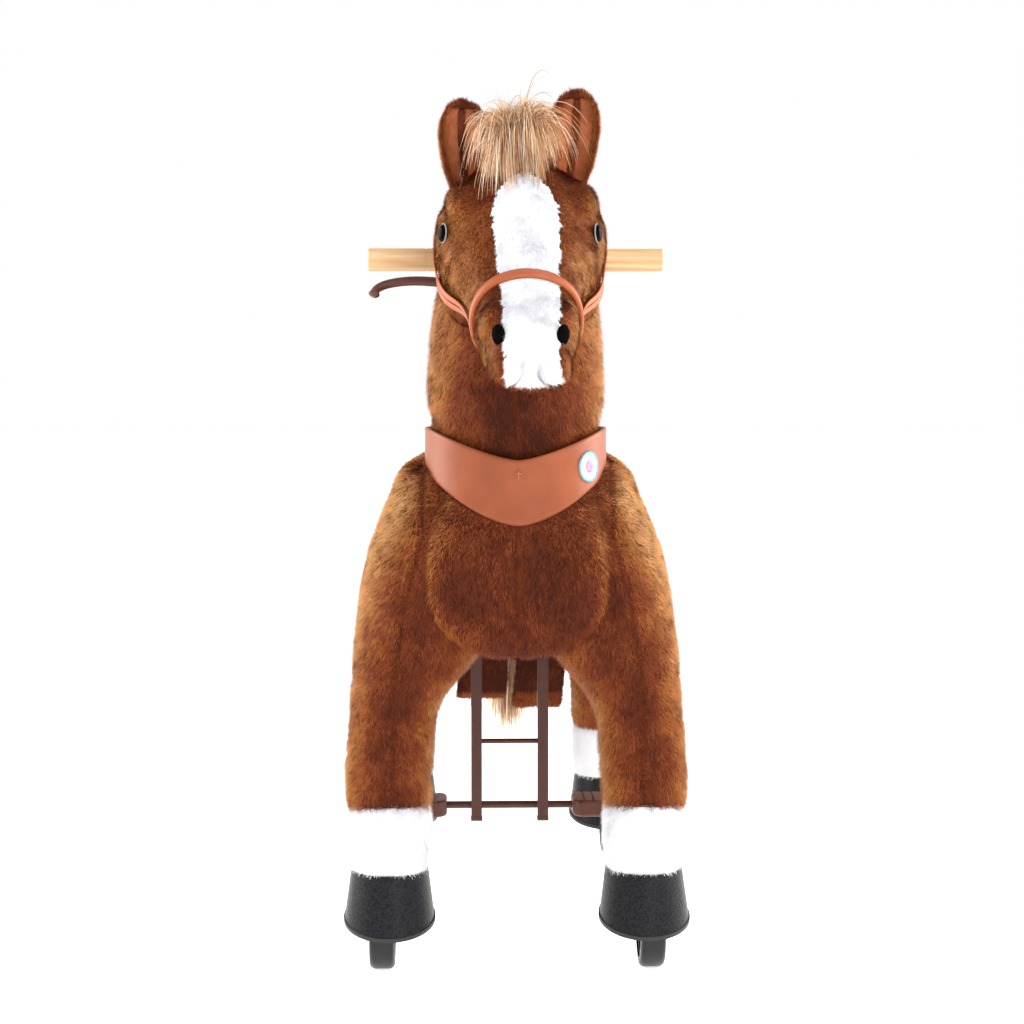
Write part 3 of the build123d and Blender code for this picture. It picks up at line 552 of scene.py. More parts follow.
def rounded_bar(centre, side, out, half_width, thickness):
    """The cross-section of a leather strap: flat below, with rolled edges."""
    shape = [(-1, 0.0), (-1.0, 0.55), (-0.93, 0.9), (-0.75, 1.0), (0, 1.04), (0.75, 1.0), (0.93, 0.9),
             (1.0, 0.55), (1, 0.0), (0, 0.0)]
    return np.array([centre + side * (u * half_width) + out * (v * thickness) for u, v in shape])


def strap(name, points, outs, half_width, thickness, closed=False):
    """A strap through points whose outward directions are given."""
    points, outs = np.array(points), unit(np.array(outs))
    if closed:
        along = np.roll(points, -1, 0) - np.roll(points, 1, 0)
    else:
        along = np.gradient(points, axis=0)
    sides = unit(np.cross(along, outs))
    rings = [rounded_bar(p, s, o, half_width, thickness) for p, s, o in zip(points, sides, outs)]
    return loft(name, rings + ([rings[0]] if closed else []), closed_ends=not closed)


def on_skin(tree, path, rise):
    """The path laid on a skin: nearest points, lifted by rise, and their normals, both smoothed."""
    points, outs = [], []
    for p in path:
        place, normal = tree.find_nearest(Vector(p))[:2]
        points.append(np.array(place))
        outs.append(np.array(normal))
    points, outs = np.array(points), unit(np.array(outs))
    for _ in range(4):
        points[1:-1] = (points[:-2] + 2 * points[1:-1] + points[2:]) / 4
        outs[1:-1] = (outs[:-2] + 2 * outs[1:-1] + outs[2:]) / 4
    outs = unit(outs)
    return points + outs * rise, outs


def stitches(name, points, outs, length, spacing, width=0.0007):
    """Short thread dashes along a line."""
    points = np.array(points)
    gaps = np.linalg.norm(np.diff(points, axis=0), axis=1)
    run = np.concatenate([[0], np.cumsum(gaps)])
    verts, faces = [], []
    box_faces = [(0, 1, 3, 2), (4, 6, 7, 5), (0, 4, 5, 1), (2, 3, 7, 6), (0, 2, 6, 4), (1, 5, 7, 3)]
    for at in np.arange(spacing / 2, run[-1] - length, spacing):
        ends = [np.array([np.interp(at + d, run, points[:, k]) for k in range(3)]) for d in (0, length)]
        i = int(np.clip(np.searchsorted(run, at), 0, len(outs) - 1))
        out = np.array(outs[i]) / np.linalg.norm(outs[i])
        side = np.cross(ends[1] - ends[0], out)
        side = side / (np.linalg.norm(side) + 1e-9) * width
        base = len(verts)
        for end in ends:
            for s in (-1, 1):
                for h in (0, 1):
                    verts.append(end + side * s + out * (h * width))
        faces += [tuple(base + k for k in f) for f in box_faces]
    return dress(mesh_object(name, verts, faces), THREAD)


# collar round the neck foot, dipping to a point at the chest
COLLAR_IN = 0.0962
COLLAR_THICK = 0.0026


def collar_edges(turn):
    """Lower and upper height of the collar at an angle from the chest."""
    spread = abs(math.sin(turn)) if math.cos(turn) > 0 else 1.0
    return 0.480 + 0.054 * spread ** 1.7, 0.549 + 0.034 * spread ** 1.4


def collar_ring(turn):
    """The collar's cross-section, with rolled edges."""
    low, high = collar_edges(turn)
    out = np.array([math.sin(turn), -math.cos(turn), 0])
    centre = np.array([0, NECK_Y, 0]) + out * COLLAR_IN
    shape = [(0.0, 0.0), (0.0, 0.6), (0.04, 1.1), (0.08, 1.0), (0.5, 1.15), (0.92, 1.0), (0.96, 1.1),
             (1.0, 0.6), (1.0, 0.0), (0.5, 0.0)]
    return np.array([centre + out * (v * COLLAR_THICK) + np.array([0, 0, low + (high - low) * u])
                     for u, v in shape])


collar_turns = np.linspace(0, 2 * math.pi, 160, endpoint=False)
collar_rings = [collar_ring(t) for t in collar_turns]
collar = dress(loft("collar_leather", [*collar_rings, collar_rings[0]], closed_ends=False), COLLAR_LEATHER)


def cross_bar(name, a, b):
    """A short raised thread on the front of the collar between two points, as x and z."""
    ends = [np.array([x, NECK_Y - COLLAR_IN - COLLAR_THICK - 0.0003, z]) for x, z in (a, b)]
    way = [ends[0] + (ends[1] - ends[0]) * t for t in np.linspace(0, 1, 5)]
    return dress(strap(name, way, [np.array((0, -1, 0))] * 5, 0.0007, 0.0007 * 1.4), THREAD)


CROSS_Z = 0.534
cross = [cross_bar("collar_cross_down", (0.0, CROSS_Z - 0.005), (0.0, CROSS_Z + 0.005)),
         cross_bar("collar_cross_over", (-0.004, CROSS_Z + 0.001), (0.004, CROSS_Z + 0.001))]

# round cloth patch on the collar's left side, with a blue edge
PATCH_TURN = math.radians(50)
PATCH_R = 0.0165
patch_low, patch_high = collar_edges(PATCH_TURN)
PATCH_Z = (patch_low + patch_high) / 2 - 0.002


def patch_disc(name, radius, inner, rise, thick, material):
    """A disc or rim bent round the collar."""
    rings = []
    base = COLLAR_IN + COLLAR_THICK * 1.12
    for r, h in ((inner, rise), (inner, rise + thick), ((inner + radius) / 2, rise + thick * 1.2),
                 (radius * 0.97, rise + thick), (radius, rise)):
        rows = []
        for a in np.linspace(0, 2 * math.pi, 60, endpoint=False):
            turn = PATCH_TURN + r * math.cos(a) / base
            out = np.array([math.sin(turn), -math.cos(turn), 0])
            rows.append(np.array([0, NECK_Y, PATCH_Z + r * math.sin(a)]) + out * (base + h))
        rings.append(np.array(rows))
    return dress(loft(name, rings), material)


patch = patch_disc("collar_patch_cloth", PATCH_R, 0.0005, 0.0002, 0.0009, PATCH)
patch_rim = patch_disc("collar_patch_rim", PATCH_R, PATCH_R * 0.86, 0.0009, 0.0009, PATCH_EDGE)
patch_dot = patch_disc("collar_patch_dot", PATCH_R * 0.4, 0.0005, 0.0012, 0.0006, PATCH_DOT)

# halter: noseband in a nearly upright plane, and a strap up each cheek
head_tree = surface_of(head)
BAND_CENTRE = np.array([0, -0.3620, 0.6860])
BAND_UP = np.array([0, -0.460, 0.888])
band_points = []
for turn in np.linspace(0, 2 * math.pi, 120, endpoint=False):
    ray = np.array([math.cos(turn), 0, 0]) + BAND_UP * math.sin(turn)
    hit = head_tree.ray_cast(Vector(BAND_CENTRE), Vector(ray))[0]
    band_points.append(np.array(hit))
band_points = np.array(band_points)
for _ in range(6):
    band_points = (np.roll(band_points, 1, 0) + 2 * band_points + np.roll(band_points, -1, 0)) / 4
band_outs = unit(band_points - BAND_CENTRE)
noseband = dress(strap("noseband_leather", band_points + band_outs * 0.0002, band_outs, 0.0072, 0.0048,
                       closed=True), TAN_LEATHER)
cheek_pieces = []
for s, side in SIDES:
    for number, shift in enumerate((0.0, 0.008)):
        way = through([(s * 0.055, -0.363, 0.681 - shift), (s * 0.066, -0.337, 0.693 - shift),
                       (s * 0.084, -0.300, 0.719 - shift), (s * 0.093, -0.262, 0.749 - shift * 0.5),
                       (s * 0.088, -0.225, 0.790), (s * 0.072, -0.205, 0.830)], 8)
        laid, faces_out = on_skin(head_tree, way, 0.0030)
        piece = dress(strap(f"cheek_strap_{side}_{number}", laid, faces_out, 0.0030, 0.0018), TAN_LEATHER)
        cheek_pieces.append(piece)


# ---------------------------------------------------------------- face
def face_axes(normal):
    """The unit normal of a face, and the directions across and up it."""
    normal = np.array(normal, float) / np.linalg.norm(normal)
    across = np.cross((0, 0, 1), normal)
    across /= np.linalg.norm(across)
    return normal, across, np.cross(normal, across)


def disc_dome(name, centre, normal, radius, height, material, aspect=1.0):
    """A shallow dome on a face."""
    normal, across, high = face_axes(normal)
    rings = [ring(np.array(centre) + normal * height * math.sin(a), across, high,
                  radius * aspect * math.cos(a), radius * math.cos(a), points=40)
             for a in np.linspace(-0.5, math.pi / 2 - 0.02, 14)]
    return dress(loft(name, rings), material)


def ring_tube(name, centre, normal, radius, thickness, material):
    """A thin round rim."""
    normal, across, high = face_axes(normal)
    rings = []
    for a in np.linspace(0, 2 * math.pi, 48, endpoint=False):
        out = across * math.cos(a) + high * math.sin(a)
        rings.append(ring(np.array(centre) + out * radius, out, normal, thickness, thickness, points=10))
    return dress(loft(name, [*rings, rings[0]], closed_ends=False), material)


eye_pieces, nostril_pieces = [], []
for s, side in SIDES:
    hit = head_tree.ray_cast(Vector((s * 0.2, -0.307 - 0.004 * s, 0.783)), Vector((-s, 0, 0)))
    look = np.array(hit[1]) * 0.25 + np.array([s * 0.76, -0.20, 0.0])
    look /= np.linalg.norm(look)
    place = np.array(hit[0]) + look * 0.0022
    eye_pieces.append(ring_tube(f"eye_rim_{side}", place, look, 0.0096, 0.0008, EYE_RIM))
    eye_pieces.append(disc_dome(f"eye_{side}", place, look, 0.0094, 0.0050, EYE))
    out = np.array([s * 0.45, -0.80, -0.10])
    start = np.array([s * 0.0315, -0.50, 0.675])
    hit = head_tree.ray_cast(Vector(start), Vector((0, 1, 0)))
    place = np.array(hit[0]) + np.array([0, -0.0045, 0])
    nostril_pieces.append(disc_dome(f"nostril_{side}", place, out, 0.0104, 0.0045, FELT, aspect=0.68))


EAR_AT = [0, 0.12, 0.28, 0.45, 0.62, 0.76, 0.86, 0.93, 0.97, 1.0]
EAR_WIDE = [0.56, 0.72, 0.90, 0.98, 1.0, 0.91, 0.75, 0.55, 0.38, 0.12]


def make_ear(s, side):
    """One cupped ear: a plush shell, and its suede lining."""
    shell, lining = [], []
    foot = np.array([s * 0.0505, -0.222, 0.828])
    lean = np.array([s * (0.095 + 0.015 * s), -0.02, 1.0])
    for t in np.linspace(0, 1, 26):
        wide = 0.0300 * float(np.interp(t, EAR_AT, EAR_WIDE))
        cup = max(wide, 0.010) * (0.95 - 0.30 * t)
        centre = foot + lean * (t * (0.109 + 0.006 * s)) + np.array([0, -0.006 * math.sin(math.pi * t), 0])
        face = math.radians(-16) * s
        across = np.array([math.cos(face), math.sin(face), 0])
        back = np.array([-math.sin(face), math.cos(face), 0])
        outer = [centre + across * (wide * math.cos(a)) + back * (cup * 0.95 * math.sin(a))
                 for a in np.linspace(0, math.pi, 17)]
        inner = [centre + across * (-wide * 0.80 * math.cos(a)) + back * (cup * 0.62 * math.sin(a) - 0.0008)
                 for a in np.linspace(0, math.pi, 17)]
        lips = 0.0024
        shell.append(np.array([*outer, centre - across * wide * 0.92 - back * lips,
                               *inner, centre + across * wide * 0.92 - back * lips]))
        if 0.10 < t < 0.955:
            lay = [centre + across * (-wide * 0.84 * math.cos(a))
                   + back * (cup * 0.56 * math.sin(a) ** 0.8 - 0.0018
                             + 0.006 * math.exp(-((a - math.pi / 2) / 0.16) ** 2))
                   for a in np.linspace(0.05, math.pi - 0.05, 25)]
            under = [p + back * 0.0016 for p in lay[::-1]]
            lining.append(np.array(lay + under))
    ear = fuse(f"ear_plush_{side}", [loft("ear_shell", shell)], 0.0022, 3)
    return dress(ear, PLUSH_SKIN), dress(loft(f"ear_lining_{side}", lining), SUEDE)


ear_left, lining_left = make_ear(1, "left")
ear_right, lining_right = make_ear(-1, "right")

# ---------------------------------------------------------------- socks, flaps, saddle, brake lever
SOCK_FOOT_Z = 0.104
SOCK_ROWS = [(SOCK_FOOT_Z, 0.0375, 0.0400), (0.112, 0.0395, 0.0420), (0.135, 0.0425, 0.0440),
             (0.165, 0.0430, 0.0440), (0.182, 0.0380, 0.0390)]  # z, half width, half depth


def make_sock(name, x, y):
    rows = [(z, x, wide, y + 0.03 * (z - SOCK_FOOT_Z), deep) for z, wide, deep in SOCK_ROWS]
    return dress(fuse(name, [upright("sock", rows)], 0.004, 4), WHITE_SKIN)


socks = {f"{end}_{side}": make_sock(f"{end}_{side}_sock_skin", s * TRACK, y)
         for end, y in (("front", FRONT_FOOT_Y), ("rear", REAR_FOOT_Y)) for s, side in SIDES}

flap_low, flap_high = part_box("belly_flaps")
flaps = []
for s, side in SIDES:
    x = 0.046 if s > 0 else -0.030
    low = flap_low.z - 0.010 if s > 0 else flap_low.z + 0.003
    rows = [(z, x + 0.002 * math.sin(54 * z), 0.0325,
             (flap_low.y + flap_high.y) / 2 + 0.004 * math.cos(z * 40), 0.0055)
            for z in np.linspace(low, flap_high.z, 9)]
    flaps.append(dress(fuse(f"belly_flap_{side}", [upright("flap", rows, 4.0)], 0.003, 3), PLUSH_SKIN))

saddle_low, saddle_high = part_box("saddle")


def saddle_section(t):
    """The saddle's outline across, at a share of its length."""
    y = saddle_low.y + (saddle_high.y - saddle_low.y) * t
    swell = math.sin(math.pi * min(1, max(0, t))) ** 0.35
    wide = (saddle_high.x - 0.002) * max(0.12, swell)
    crown = saddle_high.z - 0.001 - 0.016 * math.sin(math.pi * t) ** 1.2 - 0.016 * (1 - swell)
    foot = saddle_low.z + 0.001
    shape = []
    for a in np.linspace(0, 2 * math.pi, 48, endpoint=False):
        u = math.copysign(abs(math.cos(a)) ** 0.55, math.cos(a))
        v = math.sin(a)
        droop = 0.018 * abs(u) ** 2.6
        edge = crown - droop - 0.012
        z = edge + 0.012 * v ** 0.8 if v > 0 else edge + (edge - foot) * v
        shape.append(np.array([u * wide, y, z]))
    return np.array(shape)


saddle = dress(loft("saddle_pad", [saddle_section(t) for t in np.linspace(0.0, 1.0, 40)]), SADDLE_LEATHER)
saddle_tree = surface_of(saddle)
saddle_seam = []
for s, side in SIDES:
    seam_top = []
    for t in np.linspace(0.06, 0.94, 60):
        x = s * saddle_high.x * 0.72 * math.sin(math.pi * t) ** 0.25
        y = saddle_low.y + (saddle_high.y - saddle_low.y) * t
        seam_top.append(np.array(saddle_tree.ray_cast(Vector((x, y, 0.7)), Vector((0, 0, -1)))[0]))
    saddle_seam.append(stitches(f"saddle_thread_{side}", seam_top, [(0, 0, 1)] * 60, 0.004, 0.006))

LEVER_ROOT = np.array([-0.075, NECK_Y - 0.0245, 0.7376])
LEVER_OUT = np.array([0, -0.68, -0.733])
lever_way = through([LEVER_ROOT + np.array([a, 0, 0]) + LEVER_OUT * b for a, b in
                     ((0.004, 0.0), (-0.034, -0.003), (-0.060, 0.001), (-0.074, 0.009), (-0.078, 0.020))], 8)
lever_rings = []
lever_along = unit(np.gradient(lever_way, axis=0))
lever_flat = np.cross(LEVER_OUT, (1, 0, 0))
for i, (p, along) in enumerate(zip(lever_way, lever_along)):  # thinning to a ball at the tip
    share = i / (len(lever_way) - 1)
    end = max(0.0, (share - 0.93) / 0.07)
    size = 0.0056 - 0.0012 * share + 0.0018 * math.exp(-((share - 0.95) / 0.06) ** 2)
    size *= math.sqrt(max(0.02, 1 - end * end))
    lever_rings.append(ring(p, np.cross(along, lever_flat), lever_flat, size, size * 0.9, points=20))
lever = dress(loft("brake_lever_blade", lever_rings), FRAME_PLASTIC)


# ---------------------------------------------------------------- fur over the skins
FINE = 1.0


def flow_body(points):
    """Hair lies back and down along the sides, and straight down on the chest."""
    back = np.clip((points[:, 1] + 0.26) / 0.12, 0, 1) * 0.75
    return np.stack([0 * back, back, -np.ones(len(points))], 1)


def flow_down(points):
    return np.tile((0.0, 0.05, -1.0), (len(points), 1))


def flow_head(points):
    """From the brow to the nose, and outwards over the cheeks."""
    out = np.tile(HEAD_ALONG, (len(points), 1))
    out[:, 0] += 5.0 * points[:, 0]
    out[:, 1] += 0.3
    return out


def painted_rim_and_top_light(points, ups):
    """Painted light: lighter shades on the shoulders, where the pile turns away from the front (painted rim
    light) and where it faces up (painted top light).
    """
    shoulder = (np.clip((np.abs(points[:, 0]) - 0.085) / 0.05, 0, 1)
                * np.clip((points[:, 2] - 0.40) / 0.10, 0, 1))
    side = np.abs(ups[:, 0]) ** 1.6 * (0.35 + 0.20 * np.clip(-5 * ups[:, 1], 0, 1))
    top = np.clip(ups[:, 2], 0, 1) * np.where(points[:, 1] < -0.12, 0.30, 0.12)
    return side + top + 0.24 * shoulder * (points[:, 1] < -0.08) - 0.11


def neck_painted_light(points, ups):
    """Darker in the shade under the chin."""
    shade = (np.exp(-(points[:, 0] / 0.055) ** 2) * np.clip((0.70 - points[:, 2]) / 0.08, 0, 1)
             * (points[:, 1] < NECK_Y))
    return painted_rim_and_top_light(points, ups) - 0.16 * shade


def head_painted_rim_light(points, ups):
    # Painted rim light: lighter shades where the pile faces sideways, and a little lighter all over.
    return 0.40 * np.abs(ups[:, 0]) ** 1.5 + 0.06


def blaze_half(points):
    """Half width of the white blaze down the face."""
    z = points[:, 2]
    return np.interp(z, [0.640, 0.660, 0.700, 0.745, 0.765, 0.790, 0.810, 0.828, 0.840, 0.848],
                     [0.0275, 0.0280, 0.0285, 0.0310, 0.0330, 0.0350, 0.0335, 0.0260, 0.0160, 0.0])


def in_blaze(points, margin=0.0):
    ripple = 0.003 * (noise(points, 0.006, 0) - 0.5)
    front = points @ HEAD_OUT - HEAD_TOP @ HEAD_OUT > 0.012
    tip = points[:, 1] < -0.392
    across = np.abs(points[:, 0] - 0.0015) + ripple
    return (across < blaze_half(points) + margin) & (front | tip) & (points[:, 2] > 0.628)


def off_blaze(points):
    return ~in_blaze(points)


def seam(distance, width=0.0045, floor=0.25):
    """Shorter pile near a seam line."""
    return lambda points: 1 - (1 - floor) * np.exp(-(distance(points) / width) ** 2)


def chest_seam(points):
    """Distance from the chest's centre seam, below the collar."""
    front = np.where(points[:, 1] < -0.12, 0, 1.0)
    centre = np.abs(points[:, 0]) + np.clip(points[:, 2] - 0.50, 0, 1)
    return centre + front


def leg_seam(s):
    """Distance from the seam down a front leg's face."""
    def distance(points):
        line = np.interp(points[:, 2], [0.18, 0.32, 0.40, 0.47], [0.133, 0.131, 0.118, 0.100])
        return np.abs(points[:, 0] * s - line) + np.where(points[:, 1] < -0.19, 0, 1.0)
    return distance


def neck_seam(points):
    return np.abs(points[:, 0] + 0.003) + np.where(points[:, 1] < -0.2, 0, 1.0)


def clear_of_collar(points):
    """The pile lies flat under the collar."""
    z_low = 0.480 + 0.054 * np.clip(np.abs(points[:, 0]) / COLLAR_IN, 0, 1) ** 1.7
    near = np.hypot(points[:, 0], points[:, 1] - NECK_Y) < COLLAR_IN + 0.008
    return ~(near & (points[:, 2] > z_low) & (points[:, 1] < NECK_Y + 0.02))


def in_ladder_way(points):
    """The opening under the belly that the pedal ladder slides through."""
    low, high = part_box("ladder_cross_bars")
    return ((np.abs(points[:, 0]) < high.x + 0.010) & (points[:, 1] > low.y - 0.012)
            & (points[:, 1] < high.y + 0.012) & (points[:, 2] < 0.42))


def clear_of_saddle(points):
    share = np.clip((points[:, 1] - saddle_low.y) / (saddle_high.y - saddle_low.y), 0, 1)
    half = (saddle_high.x - 0.002) * np.sin(math.pi * share) ** 0.35 - 0.008
    inside = (np.abs(points[:, 0]) < half) & (points[:, 2] > 0.52)
    return clear_of_collar(points) & ~inside & ~in_ladder_way(points)


def above_collar(points):
    spread = np.clip(np.abs(points[:, 0]) / COLLAR_IN, 0, 1)
    return points[:, 2] > 0.549 + 0.034 * np.where(points[:, 1] < NECK_Y, spread, 1) ** 1.4 - 0.006


def backing(skin, name, chosen, rise, material):
    """The skin's chosen faces again, lifted by rise."""
    points, ups = coords(skin), normals(skin)
    faces = [tuple(p.vertices) for p in skin.data.polygons]
    centres = np.array([points[list(f)].mean(0) for f in faces])
    kept = [f for f, take in zip(faces, chosen(centres)) if take]
    used = sorted({v for f in kept for v in f})
    place = {v: i for i, v in enumerate(used)}
    lifted = points[used] + ups[used] * rise
    return dress(mesh_object(name, lifted, [tuple(place[v] for v in f) for f in kept]), material)


def fur_on(skin, name, count, seed, **how):
    how.setdefault("tint", painted_rim_and_top_light)
    return grow_fur(name, skin, int(count * FINE), seed, FUR_SHADES, **how)


furs = {}
furs["torso"] = fur_on(torso, "torso_fur", 185000, 1, flow=flow_body, keep=clear_of_saddle,
                       bald=seam(chest_seam))
for key, skin, s, seed in (("front_left", front_left, 1, 2), ("front_right", front_right, -1, 3)):
    furs[key] = fur_on(skin, f"{key}_leg_fur", 130000, seed, flow=flow_down, bald=seam(leg_seam(s)))
for key, skin, seed in (("rear_left", rear_left, 4), ("rear_right", rear_right, 5)):
    furs[key] = fur_on(skin, f"{key}_leg_fur", 120000, seed, flow=flow_down)
furs["neck"] = fur_on(neck, "neck_fur", 150000, 6, flow=flow_down, keep=above_collar,
                      bald=seam(neck_seam), tint=neck_painted_light)
furs["head"] = fur_on(head, "head_fur", 170000, 7, flow=flow_head, keep=off_blaze, length=0.0065,
                      width=0.0007, lift=0.35, tint=head_painted_rim_light)
for key, skin, seed in (("ear_left", ear_left, 8), ("ear_right", ear_right, 9)):
    furs[key] = fur_on(skin, f"{key}_fur", 26000, seed, flow=(0, 0, 1), length=0.0055, width=0.0006, lift=0.3)
# The flap fur takes darker shades throughout as painted shadow under the belly, and lighter shades along the
# bottom hem.
for number, flap in enumerate(flaps):
    furs[f"flap_{number}"] = fur_on(flap, f"{flap.name}_fur", 26000, 10 + number, length=0.007,
                                    tint=lambda p, n: -0.3 + 0.4 * (p[:, 2] < 0.226))
blaze_backing = backing(head, "blaze_backing", lambda p: in_blaze(p, -0.0015), 0.0011, WHITE_SKIN)
blaze = grow_fur("blaze_fur", blaze_backing, int(26000 * FINE), 20, WHITE_SHADES, length=0.0058,
                 width=0.0011, lift=0.26, flow=flow_head, jitter=0.35)
sock_furs = {}
for number, (key, skin) in enumerate(socks.items()):
    sock_furs[key] = grow_fur(f"{key}_sock_fur", skin, int(34000 * FINE), 30 + number, WHITE_SHADES,
                              length=0.008, width=0.001, lift=0.45, jitter=0.5,
                              keep=lambda p: p[:, 2] > SOCK_FOOT_Z)


# ---------------------------------------------------------------- forelock, mane and tail
HAIR_FINE = max(FINE, 0.4)


def locks(name, count, seed, root, heading, length, **how):
    """Strands from random roots, each with its own heading and length."""
    rng = np.random.default_rng(seed)
    n = int(count * HAIR_FINE)
    u, v = rng.random(n), rng.random(n)
    return strands(name, root(u, v, rng), heading(u, v, rng), length(u, v, rng), HAIR_SHADES, seed, **how)


def clumped(name, clumps, each, seed, spread, rise, reach, **how):
    """Locks of hair: each clump has its own root, heading and length, and its strands stray a little."""
    rng = np.random.default_rng(seed)
    each = int(each * HAIR_FINE)
    u, v = rng.random(clumps), rng.random(clumps)
    x = (u - 0.5) * 0.030 - 0.004
    roots = np.stack([x, -0.264 + 0.040 * v, 0.884 + 0.010 * v - 10.0 * x * x], 1)
    headings = np.stack([(u - 0.5) * spread + rng.normal(0, 0.05 + 0.10 * spread, clumps),
                         -0.65 + 0.35 * v + rng.normal(0, 0.2, clumps),
                         rise + rng.normal(0, 0.35, clumps)], 1)
    lengths = reach[0] + (reach[1] - reach[0]) * rng.random(clumps) ** 1.25
    n = clumps * each
    pick = np.repeat(np.arange(clumps), each)
    return strands(name, roots[pick] + rng.normal(0, 0.0016, (n, 3)),
                   headings[pick] + rng.normal(0, 0.06, (n, 3)),
                   lengths[pick] * rng.uniform(0.6, 1.0, n), HAIR_SHADES, seed, **how)


forelock = clumped("forelock_hair", 80, 120, 41, 0.22, 0.30, (0.040, 0.130), width=0.0005, droop=3.2,
                   curl=0.16, segments=9)
wisps = clumped("forelock_wisps", 110, 30, 42, 1.0, 0.9, (0.024, 0.052), width=0.00045, droop=0.9,
                curl=0.4, segments=7)


def mane_root(u, v, rng):
    z = 0.60 + 0.26 * v
    back = np.interp(z, [0.60, 0.66, 0.72, 0.78, 0.82, 0.86], [-0.100, -0.107, -0.124, -0.140, -0.158, -0.195])
    return np.stack([(u - 0.5) * 0.022, back - 0.002, z], 1)


def mane_heading(u, v, rng):
    """Out to either side of the crest, and back."""
    return np.stack([np.sign(u - 0.5) * rng.uniform(0.15, 0.8, len(u)), 0.55 + rng.normal(0, 0.12, len(u)),
                     0.35 - 0.5 * v + rng.normal(0, 0.15, len(u))], 1)


def tail_root(u, v, rng):
    turn = rng.uniform(0, 2 * math.pi, len(u))
    z = 0.505 - 0.20 * v ** 1.3
    y = np.interp(z, [0.30, 0.33, 0.43, 0.505], [0.402, 0.400, 0.386, 0.345])
    r = np.interp(z, [0.30, 0.43, 0.505], [0.010, 0.016, 0.009])
    return np.stack([r * np.cos(turn) + 0.008, y + r * np.sin(turn) * 0.8, z], 1)


def tail_heading(u, v, rng):
    """Down, and a little back."""
    return np.stack([rng.normal(0, 0.12, len(u)), 0.25 - 0.15 * v + rng.normal(0, 0.08, len(u)),
                     np.full(len(u), -0.9)], 1)


mane = locks("mane_hair", 9000, 43, mane_root, mane_heading,
             lambda u, v, rng: rng.uniform(0.045, 0.075, len(u)),
             width=0.0012, droop=2.4, curl=0.25, segments=6)
tail = locks("tail_hair", 9000, 44, tail_root, tail_heading,
             lambda u, v, rng: rng.uniform(0.10, 0.175, len(u)), width=0.0012, droop=1.6, curl=0.12, segments=7)
tail_dock = upright("tail_dock", [(0.24, 0, 0.007, 0.399, 0.007), (0.33, 0, 0.013, 0.397, 0.012),
                                  (0.43, 0, 0.015, 0.383, 0.013), (0.500, 0, 0.009, 0.346, 0.009)])
tail_core = dress(fuse("tail_core", [tail_dock], 0.0035, 3), HAIR_SKIN)

# the head sits turned a little to its left
TURN = (Matrix.Translation((0, NECK_Y, 0)) @ Matrix.Rotation(math.radians(1.8), 4, "Z")
        @ Matrix.Translation((0, -NECK_Y, 0)))
head_pieces = [head, furs["head"], blaze, blaze_backing, ear_left, ear_right, lining_left, lining_right,
               furs["ear_left"], furs["ear_right"], noseband, *cheek_pieces, *eye_pieces, *nostril_pieces,
               forelock, wisps]
for obj in head_pieces:
    obj.data.transform(TURN)

# ---------------------------------------------------------------- who rides on what
for obj in (torso, furs["torso"], collar, *cross, patch, patch_rim, patch_dot, saddle, *saddle_seam, *flaps,
            furs["flap_0"], furs["flap_1"], tail, tail_core):
    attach(obj, "body")
for obj in (neck, furs["neck"], mane, *head_pieces):
    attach(obj, "steering")
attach(lever, "brake_lever")
for key, skin in (("front_left", front_left), ("front_right", front_right)):
    for obj in (skin, furs[key]):
        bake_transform(obj)
for key, skin in (("rear_left", rear_left), ("rear_right", rear_right)):
    for obj in (skin, furs[key]):
        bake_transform(obj)
for key in socks:
    for obj in (socks[key], sock_furs[key]):
        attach(obj, "front_legs" if key.startswith("front") else "rear_legs")

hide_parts("torso_plush")
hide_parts("front_leg_plush")
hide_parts("rear_leg_plush")
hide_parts("neck_plush")
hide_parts("head_plush")
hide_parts("blaze")
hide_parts("ears")
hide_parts("ear_linings")
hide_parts("eyes")
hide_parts("nostrils")
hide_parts("noseband")
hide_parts("cheek_straps")
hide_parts("collar")
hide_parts("collar_patch")
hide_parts("saddle")
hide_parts("belly_flaps")
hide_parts("tail")
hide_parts("mane")
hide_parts("forelock")
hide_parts("front_socks")
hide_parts("rear_socks")
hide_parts("brake_lever")

# ---------------------------------------------------------------- CAD nodes that are shown
LOOKS = {}
for material, nodes in (
        (BLACK_STEEL, ("side_rails", "neck_bracket", "seat_posts", "front_arms", "rear_arms", "front_leg_tubes",
                       "rear_leg_tubes", "handle_clamp")),
        (ZINC, ("front_leg_axle", "rear_leg_axle", "front_link", "rear_link", "neck_column")),
        (CHROME, ("rear_forks", "front_fork_left", "front_fork_right")),
        (FRAME_PAINT, ("ladder_tubes", "ladder_cross_bars", "pedal_bar")),
        (FRAME_PLASTIC, ("ladder_end_caps", "pedals", "lever_bracket")),
        (HOOF_LEATHER, ("front_hooves", "rear_hooves")), (EDGING, ("front_hoof_rims", "rear_hoof_rims")),
        (DARK_PLASTIC, ("ladder_guides",)), (PLY, ("seat_board",)), (LABEL, ("care_label",)),
        (WOOD, ("handle_bar",))):
    LOOKS.update(dict.fromkeys(nodes, material))
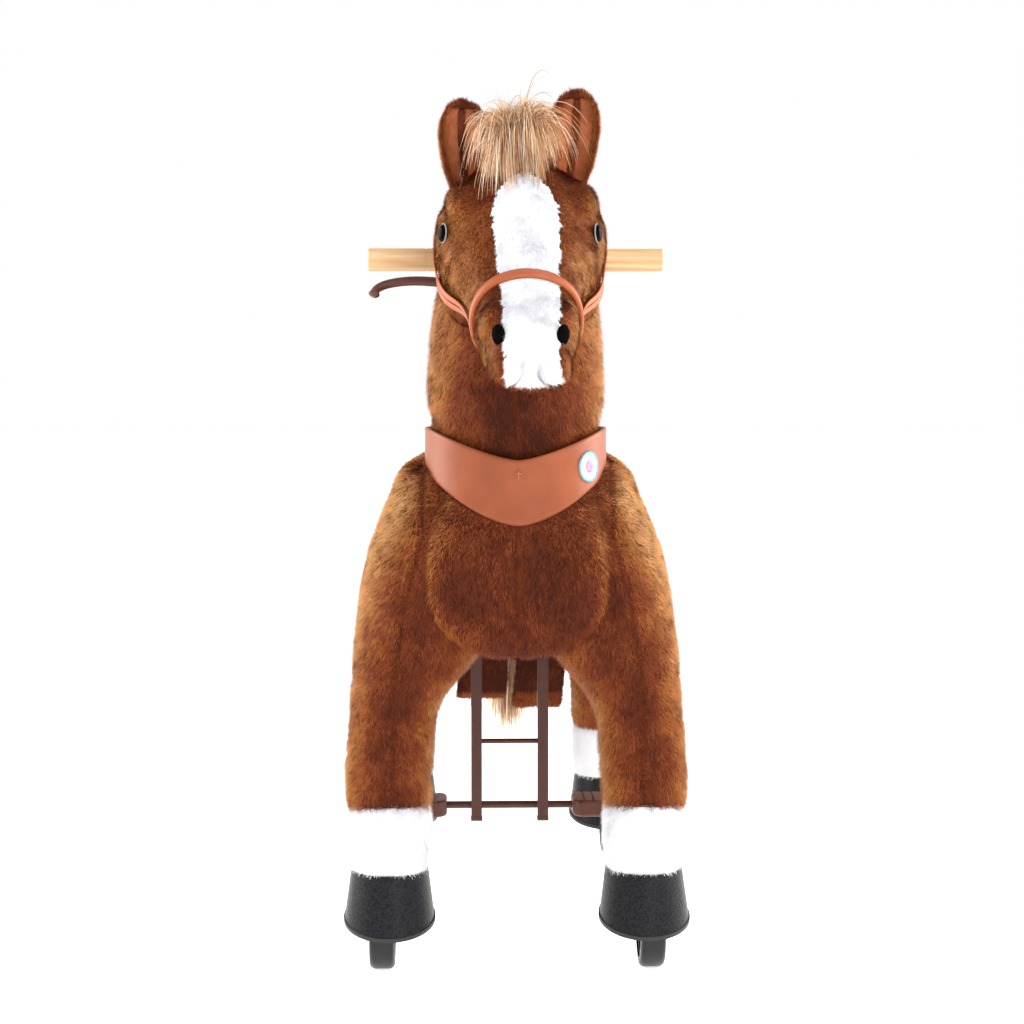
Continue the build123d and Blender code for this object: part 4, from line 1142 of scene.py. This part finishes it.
for corner in ("front_left", "front_right", "rear_left", "rear_right"):
    LOOKS[f"{corner}_tyre"] = TYRE
    LOOKS[f"{corner}_hub"] = HUB
for node, material in LOOKS.items():
    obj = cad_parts[node]
    if len(obj.material_slots) == 0:
        obj.data.materials.append(material)
    for holder in obj.material_slots:
        holder.material = material

# ---------------------------------------------------------------- camera, floor and light
scene = bpy.context.scene
camera = bpy.data.objects.new("camera", bpy.data.cameras.new("camera"))
scene.collection.objects.link(camera)
camera.location = (-0.0688, -2.417, 0.61)
camera.rotation_euler = (math.radians(90 - 3.09), 0, math.radians(-1.67))
camera.data.lens = 71.7
camera.data.sensor_width = 36
scene.camera = camera

FLOOR = 40
floor_corners = [(x * FLOOR, y * FLOOR, 0) for x, y in ((-1, -1), (1, -1), (1, 1), (-1, 1))]
floor_mesh = mesh_object("floor", floor_corners, [(0, 1, 2, 3)], smooth=False)
dress(floor_mesh, plain("floor_white", (0.9, 0.9, 0.9, 1), 0.9, Emission_Color=(1, 1, 1, 1),
                        Emission_Strength=0.75))
floor_mesh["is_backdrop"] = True

world = bpy.data.worlds.new("studio")
world.use_nodes = True
world.node_tree.nodes["Background"].inputs["Color"].default_value = (1, 1, 1, 1)
world.node_tree.nodes["Background"].inputs["Strength"].default_value = 1.0
scene.world = world
scene.view_settings.view_transform = "Standard"


def softbox(name, place, aim, size, power, colour=(1, 1, 1)):
    """A square area light turned to its aim."""
    light = bpy.data.lights.new(name, "AREA")
    light.shape = "SQUARE"
    light.size = size
    light.energy = power
    light.color = colour
    obj = bpy.data.objects.new(name, light)
    scene.collection.objects.link(obj)
    obj.location = place
    obj.rotation_euler = (Vector(aim) - Vector(place)).to_track_quat("-Z", "Y").to_euler()


softbox("rim_left", (1.6, 0.30, 1.0), (0, -0.1, 0.5), 1.2, 38, (1, 0.95, 0.84))
softbox("rim_right", (-1.6, 0.30, 1.0), (0, -0.1, 0.5), 1.2, 31, (1, 0.95, 0.84))
softbox("key", (0.9, -2.2, 1.9), (0, -0.2, 0.5), 1.0, 26)

low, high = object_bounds()
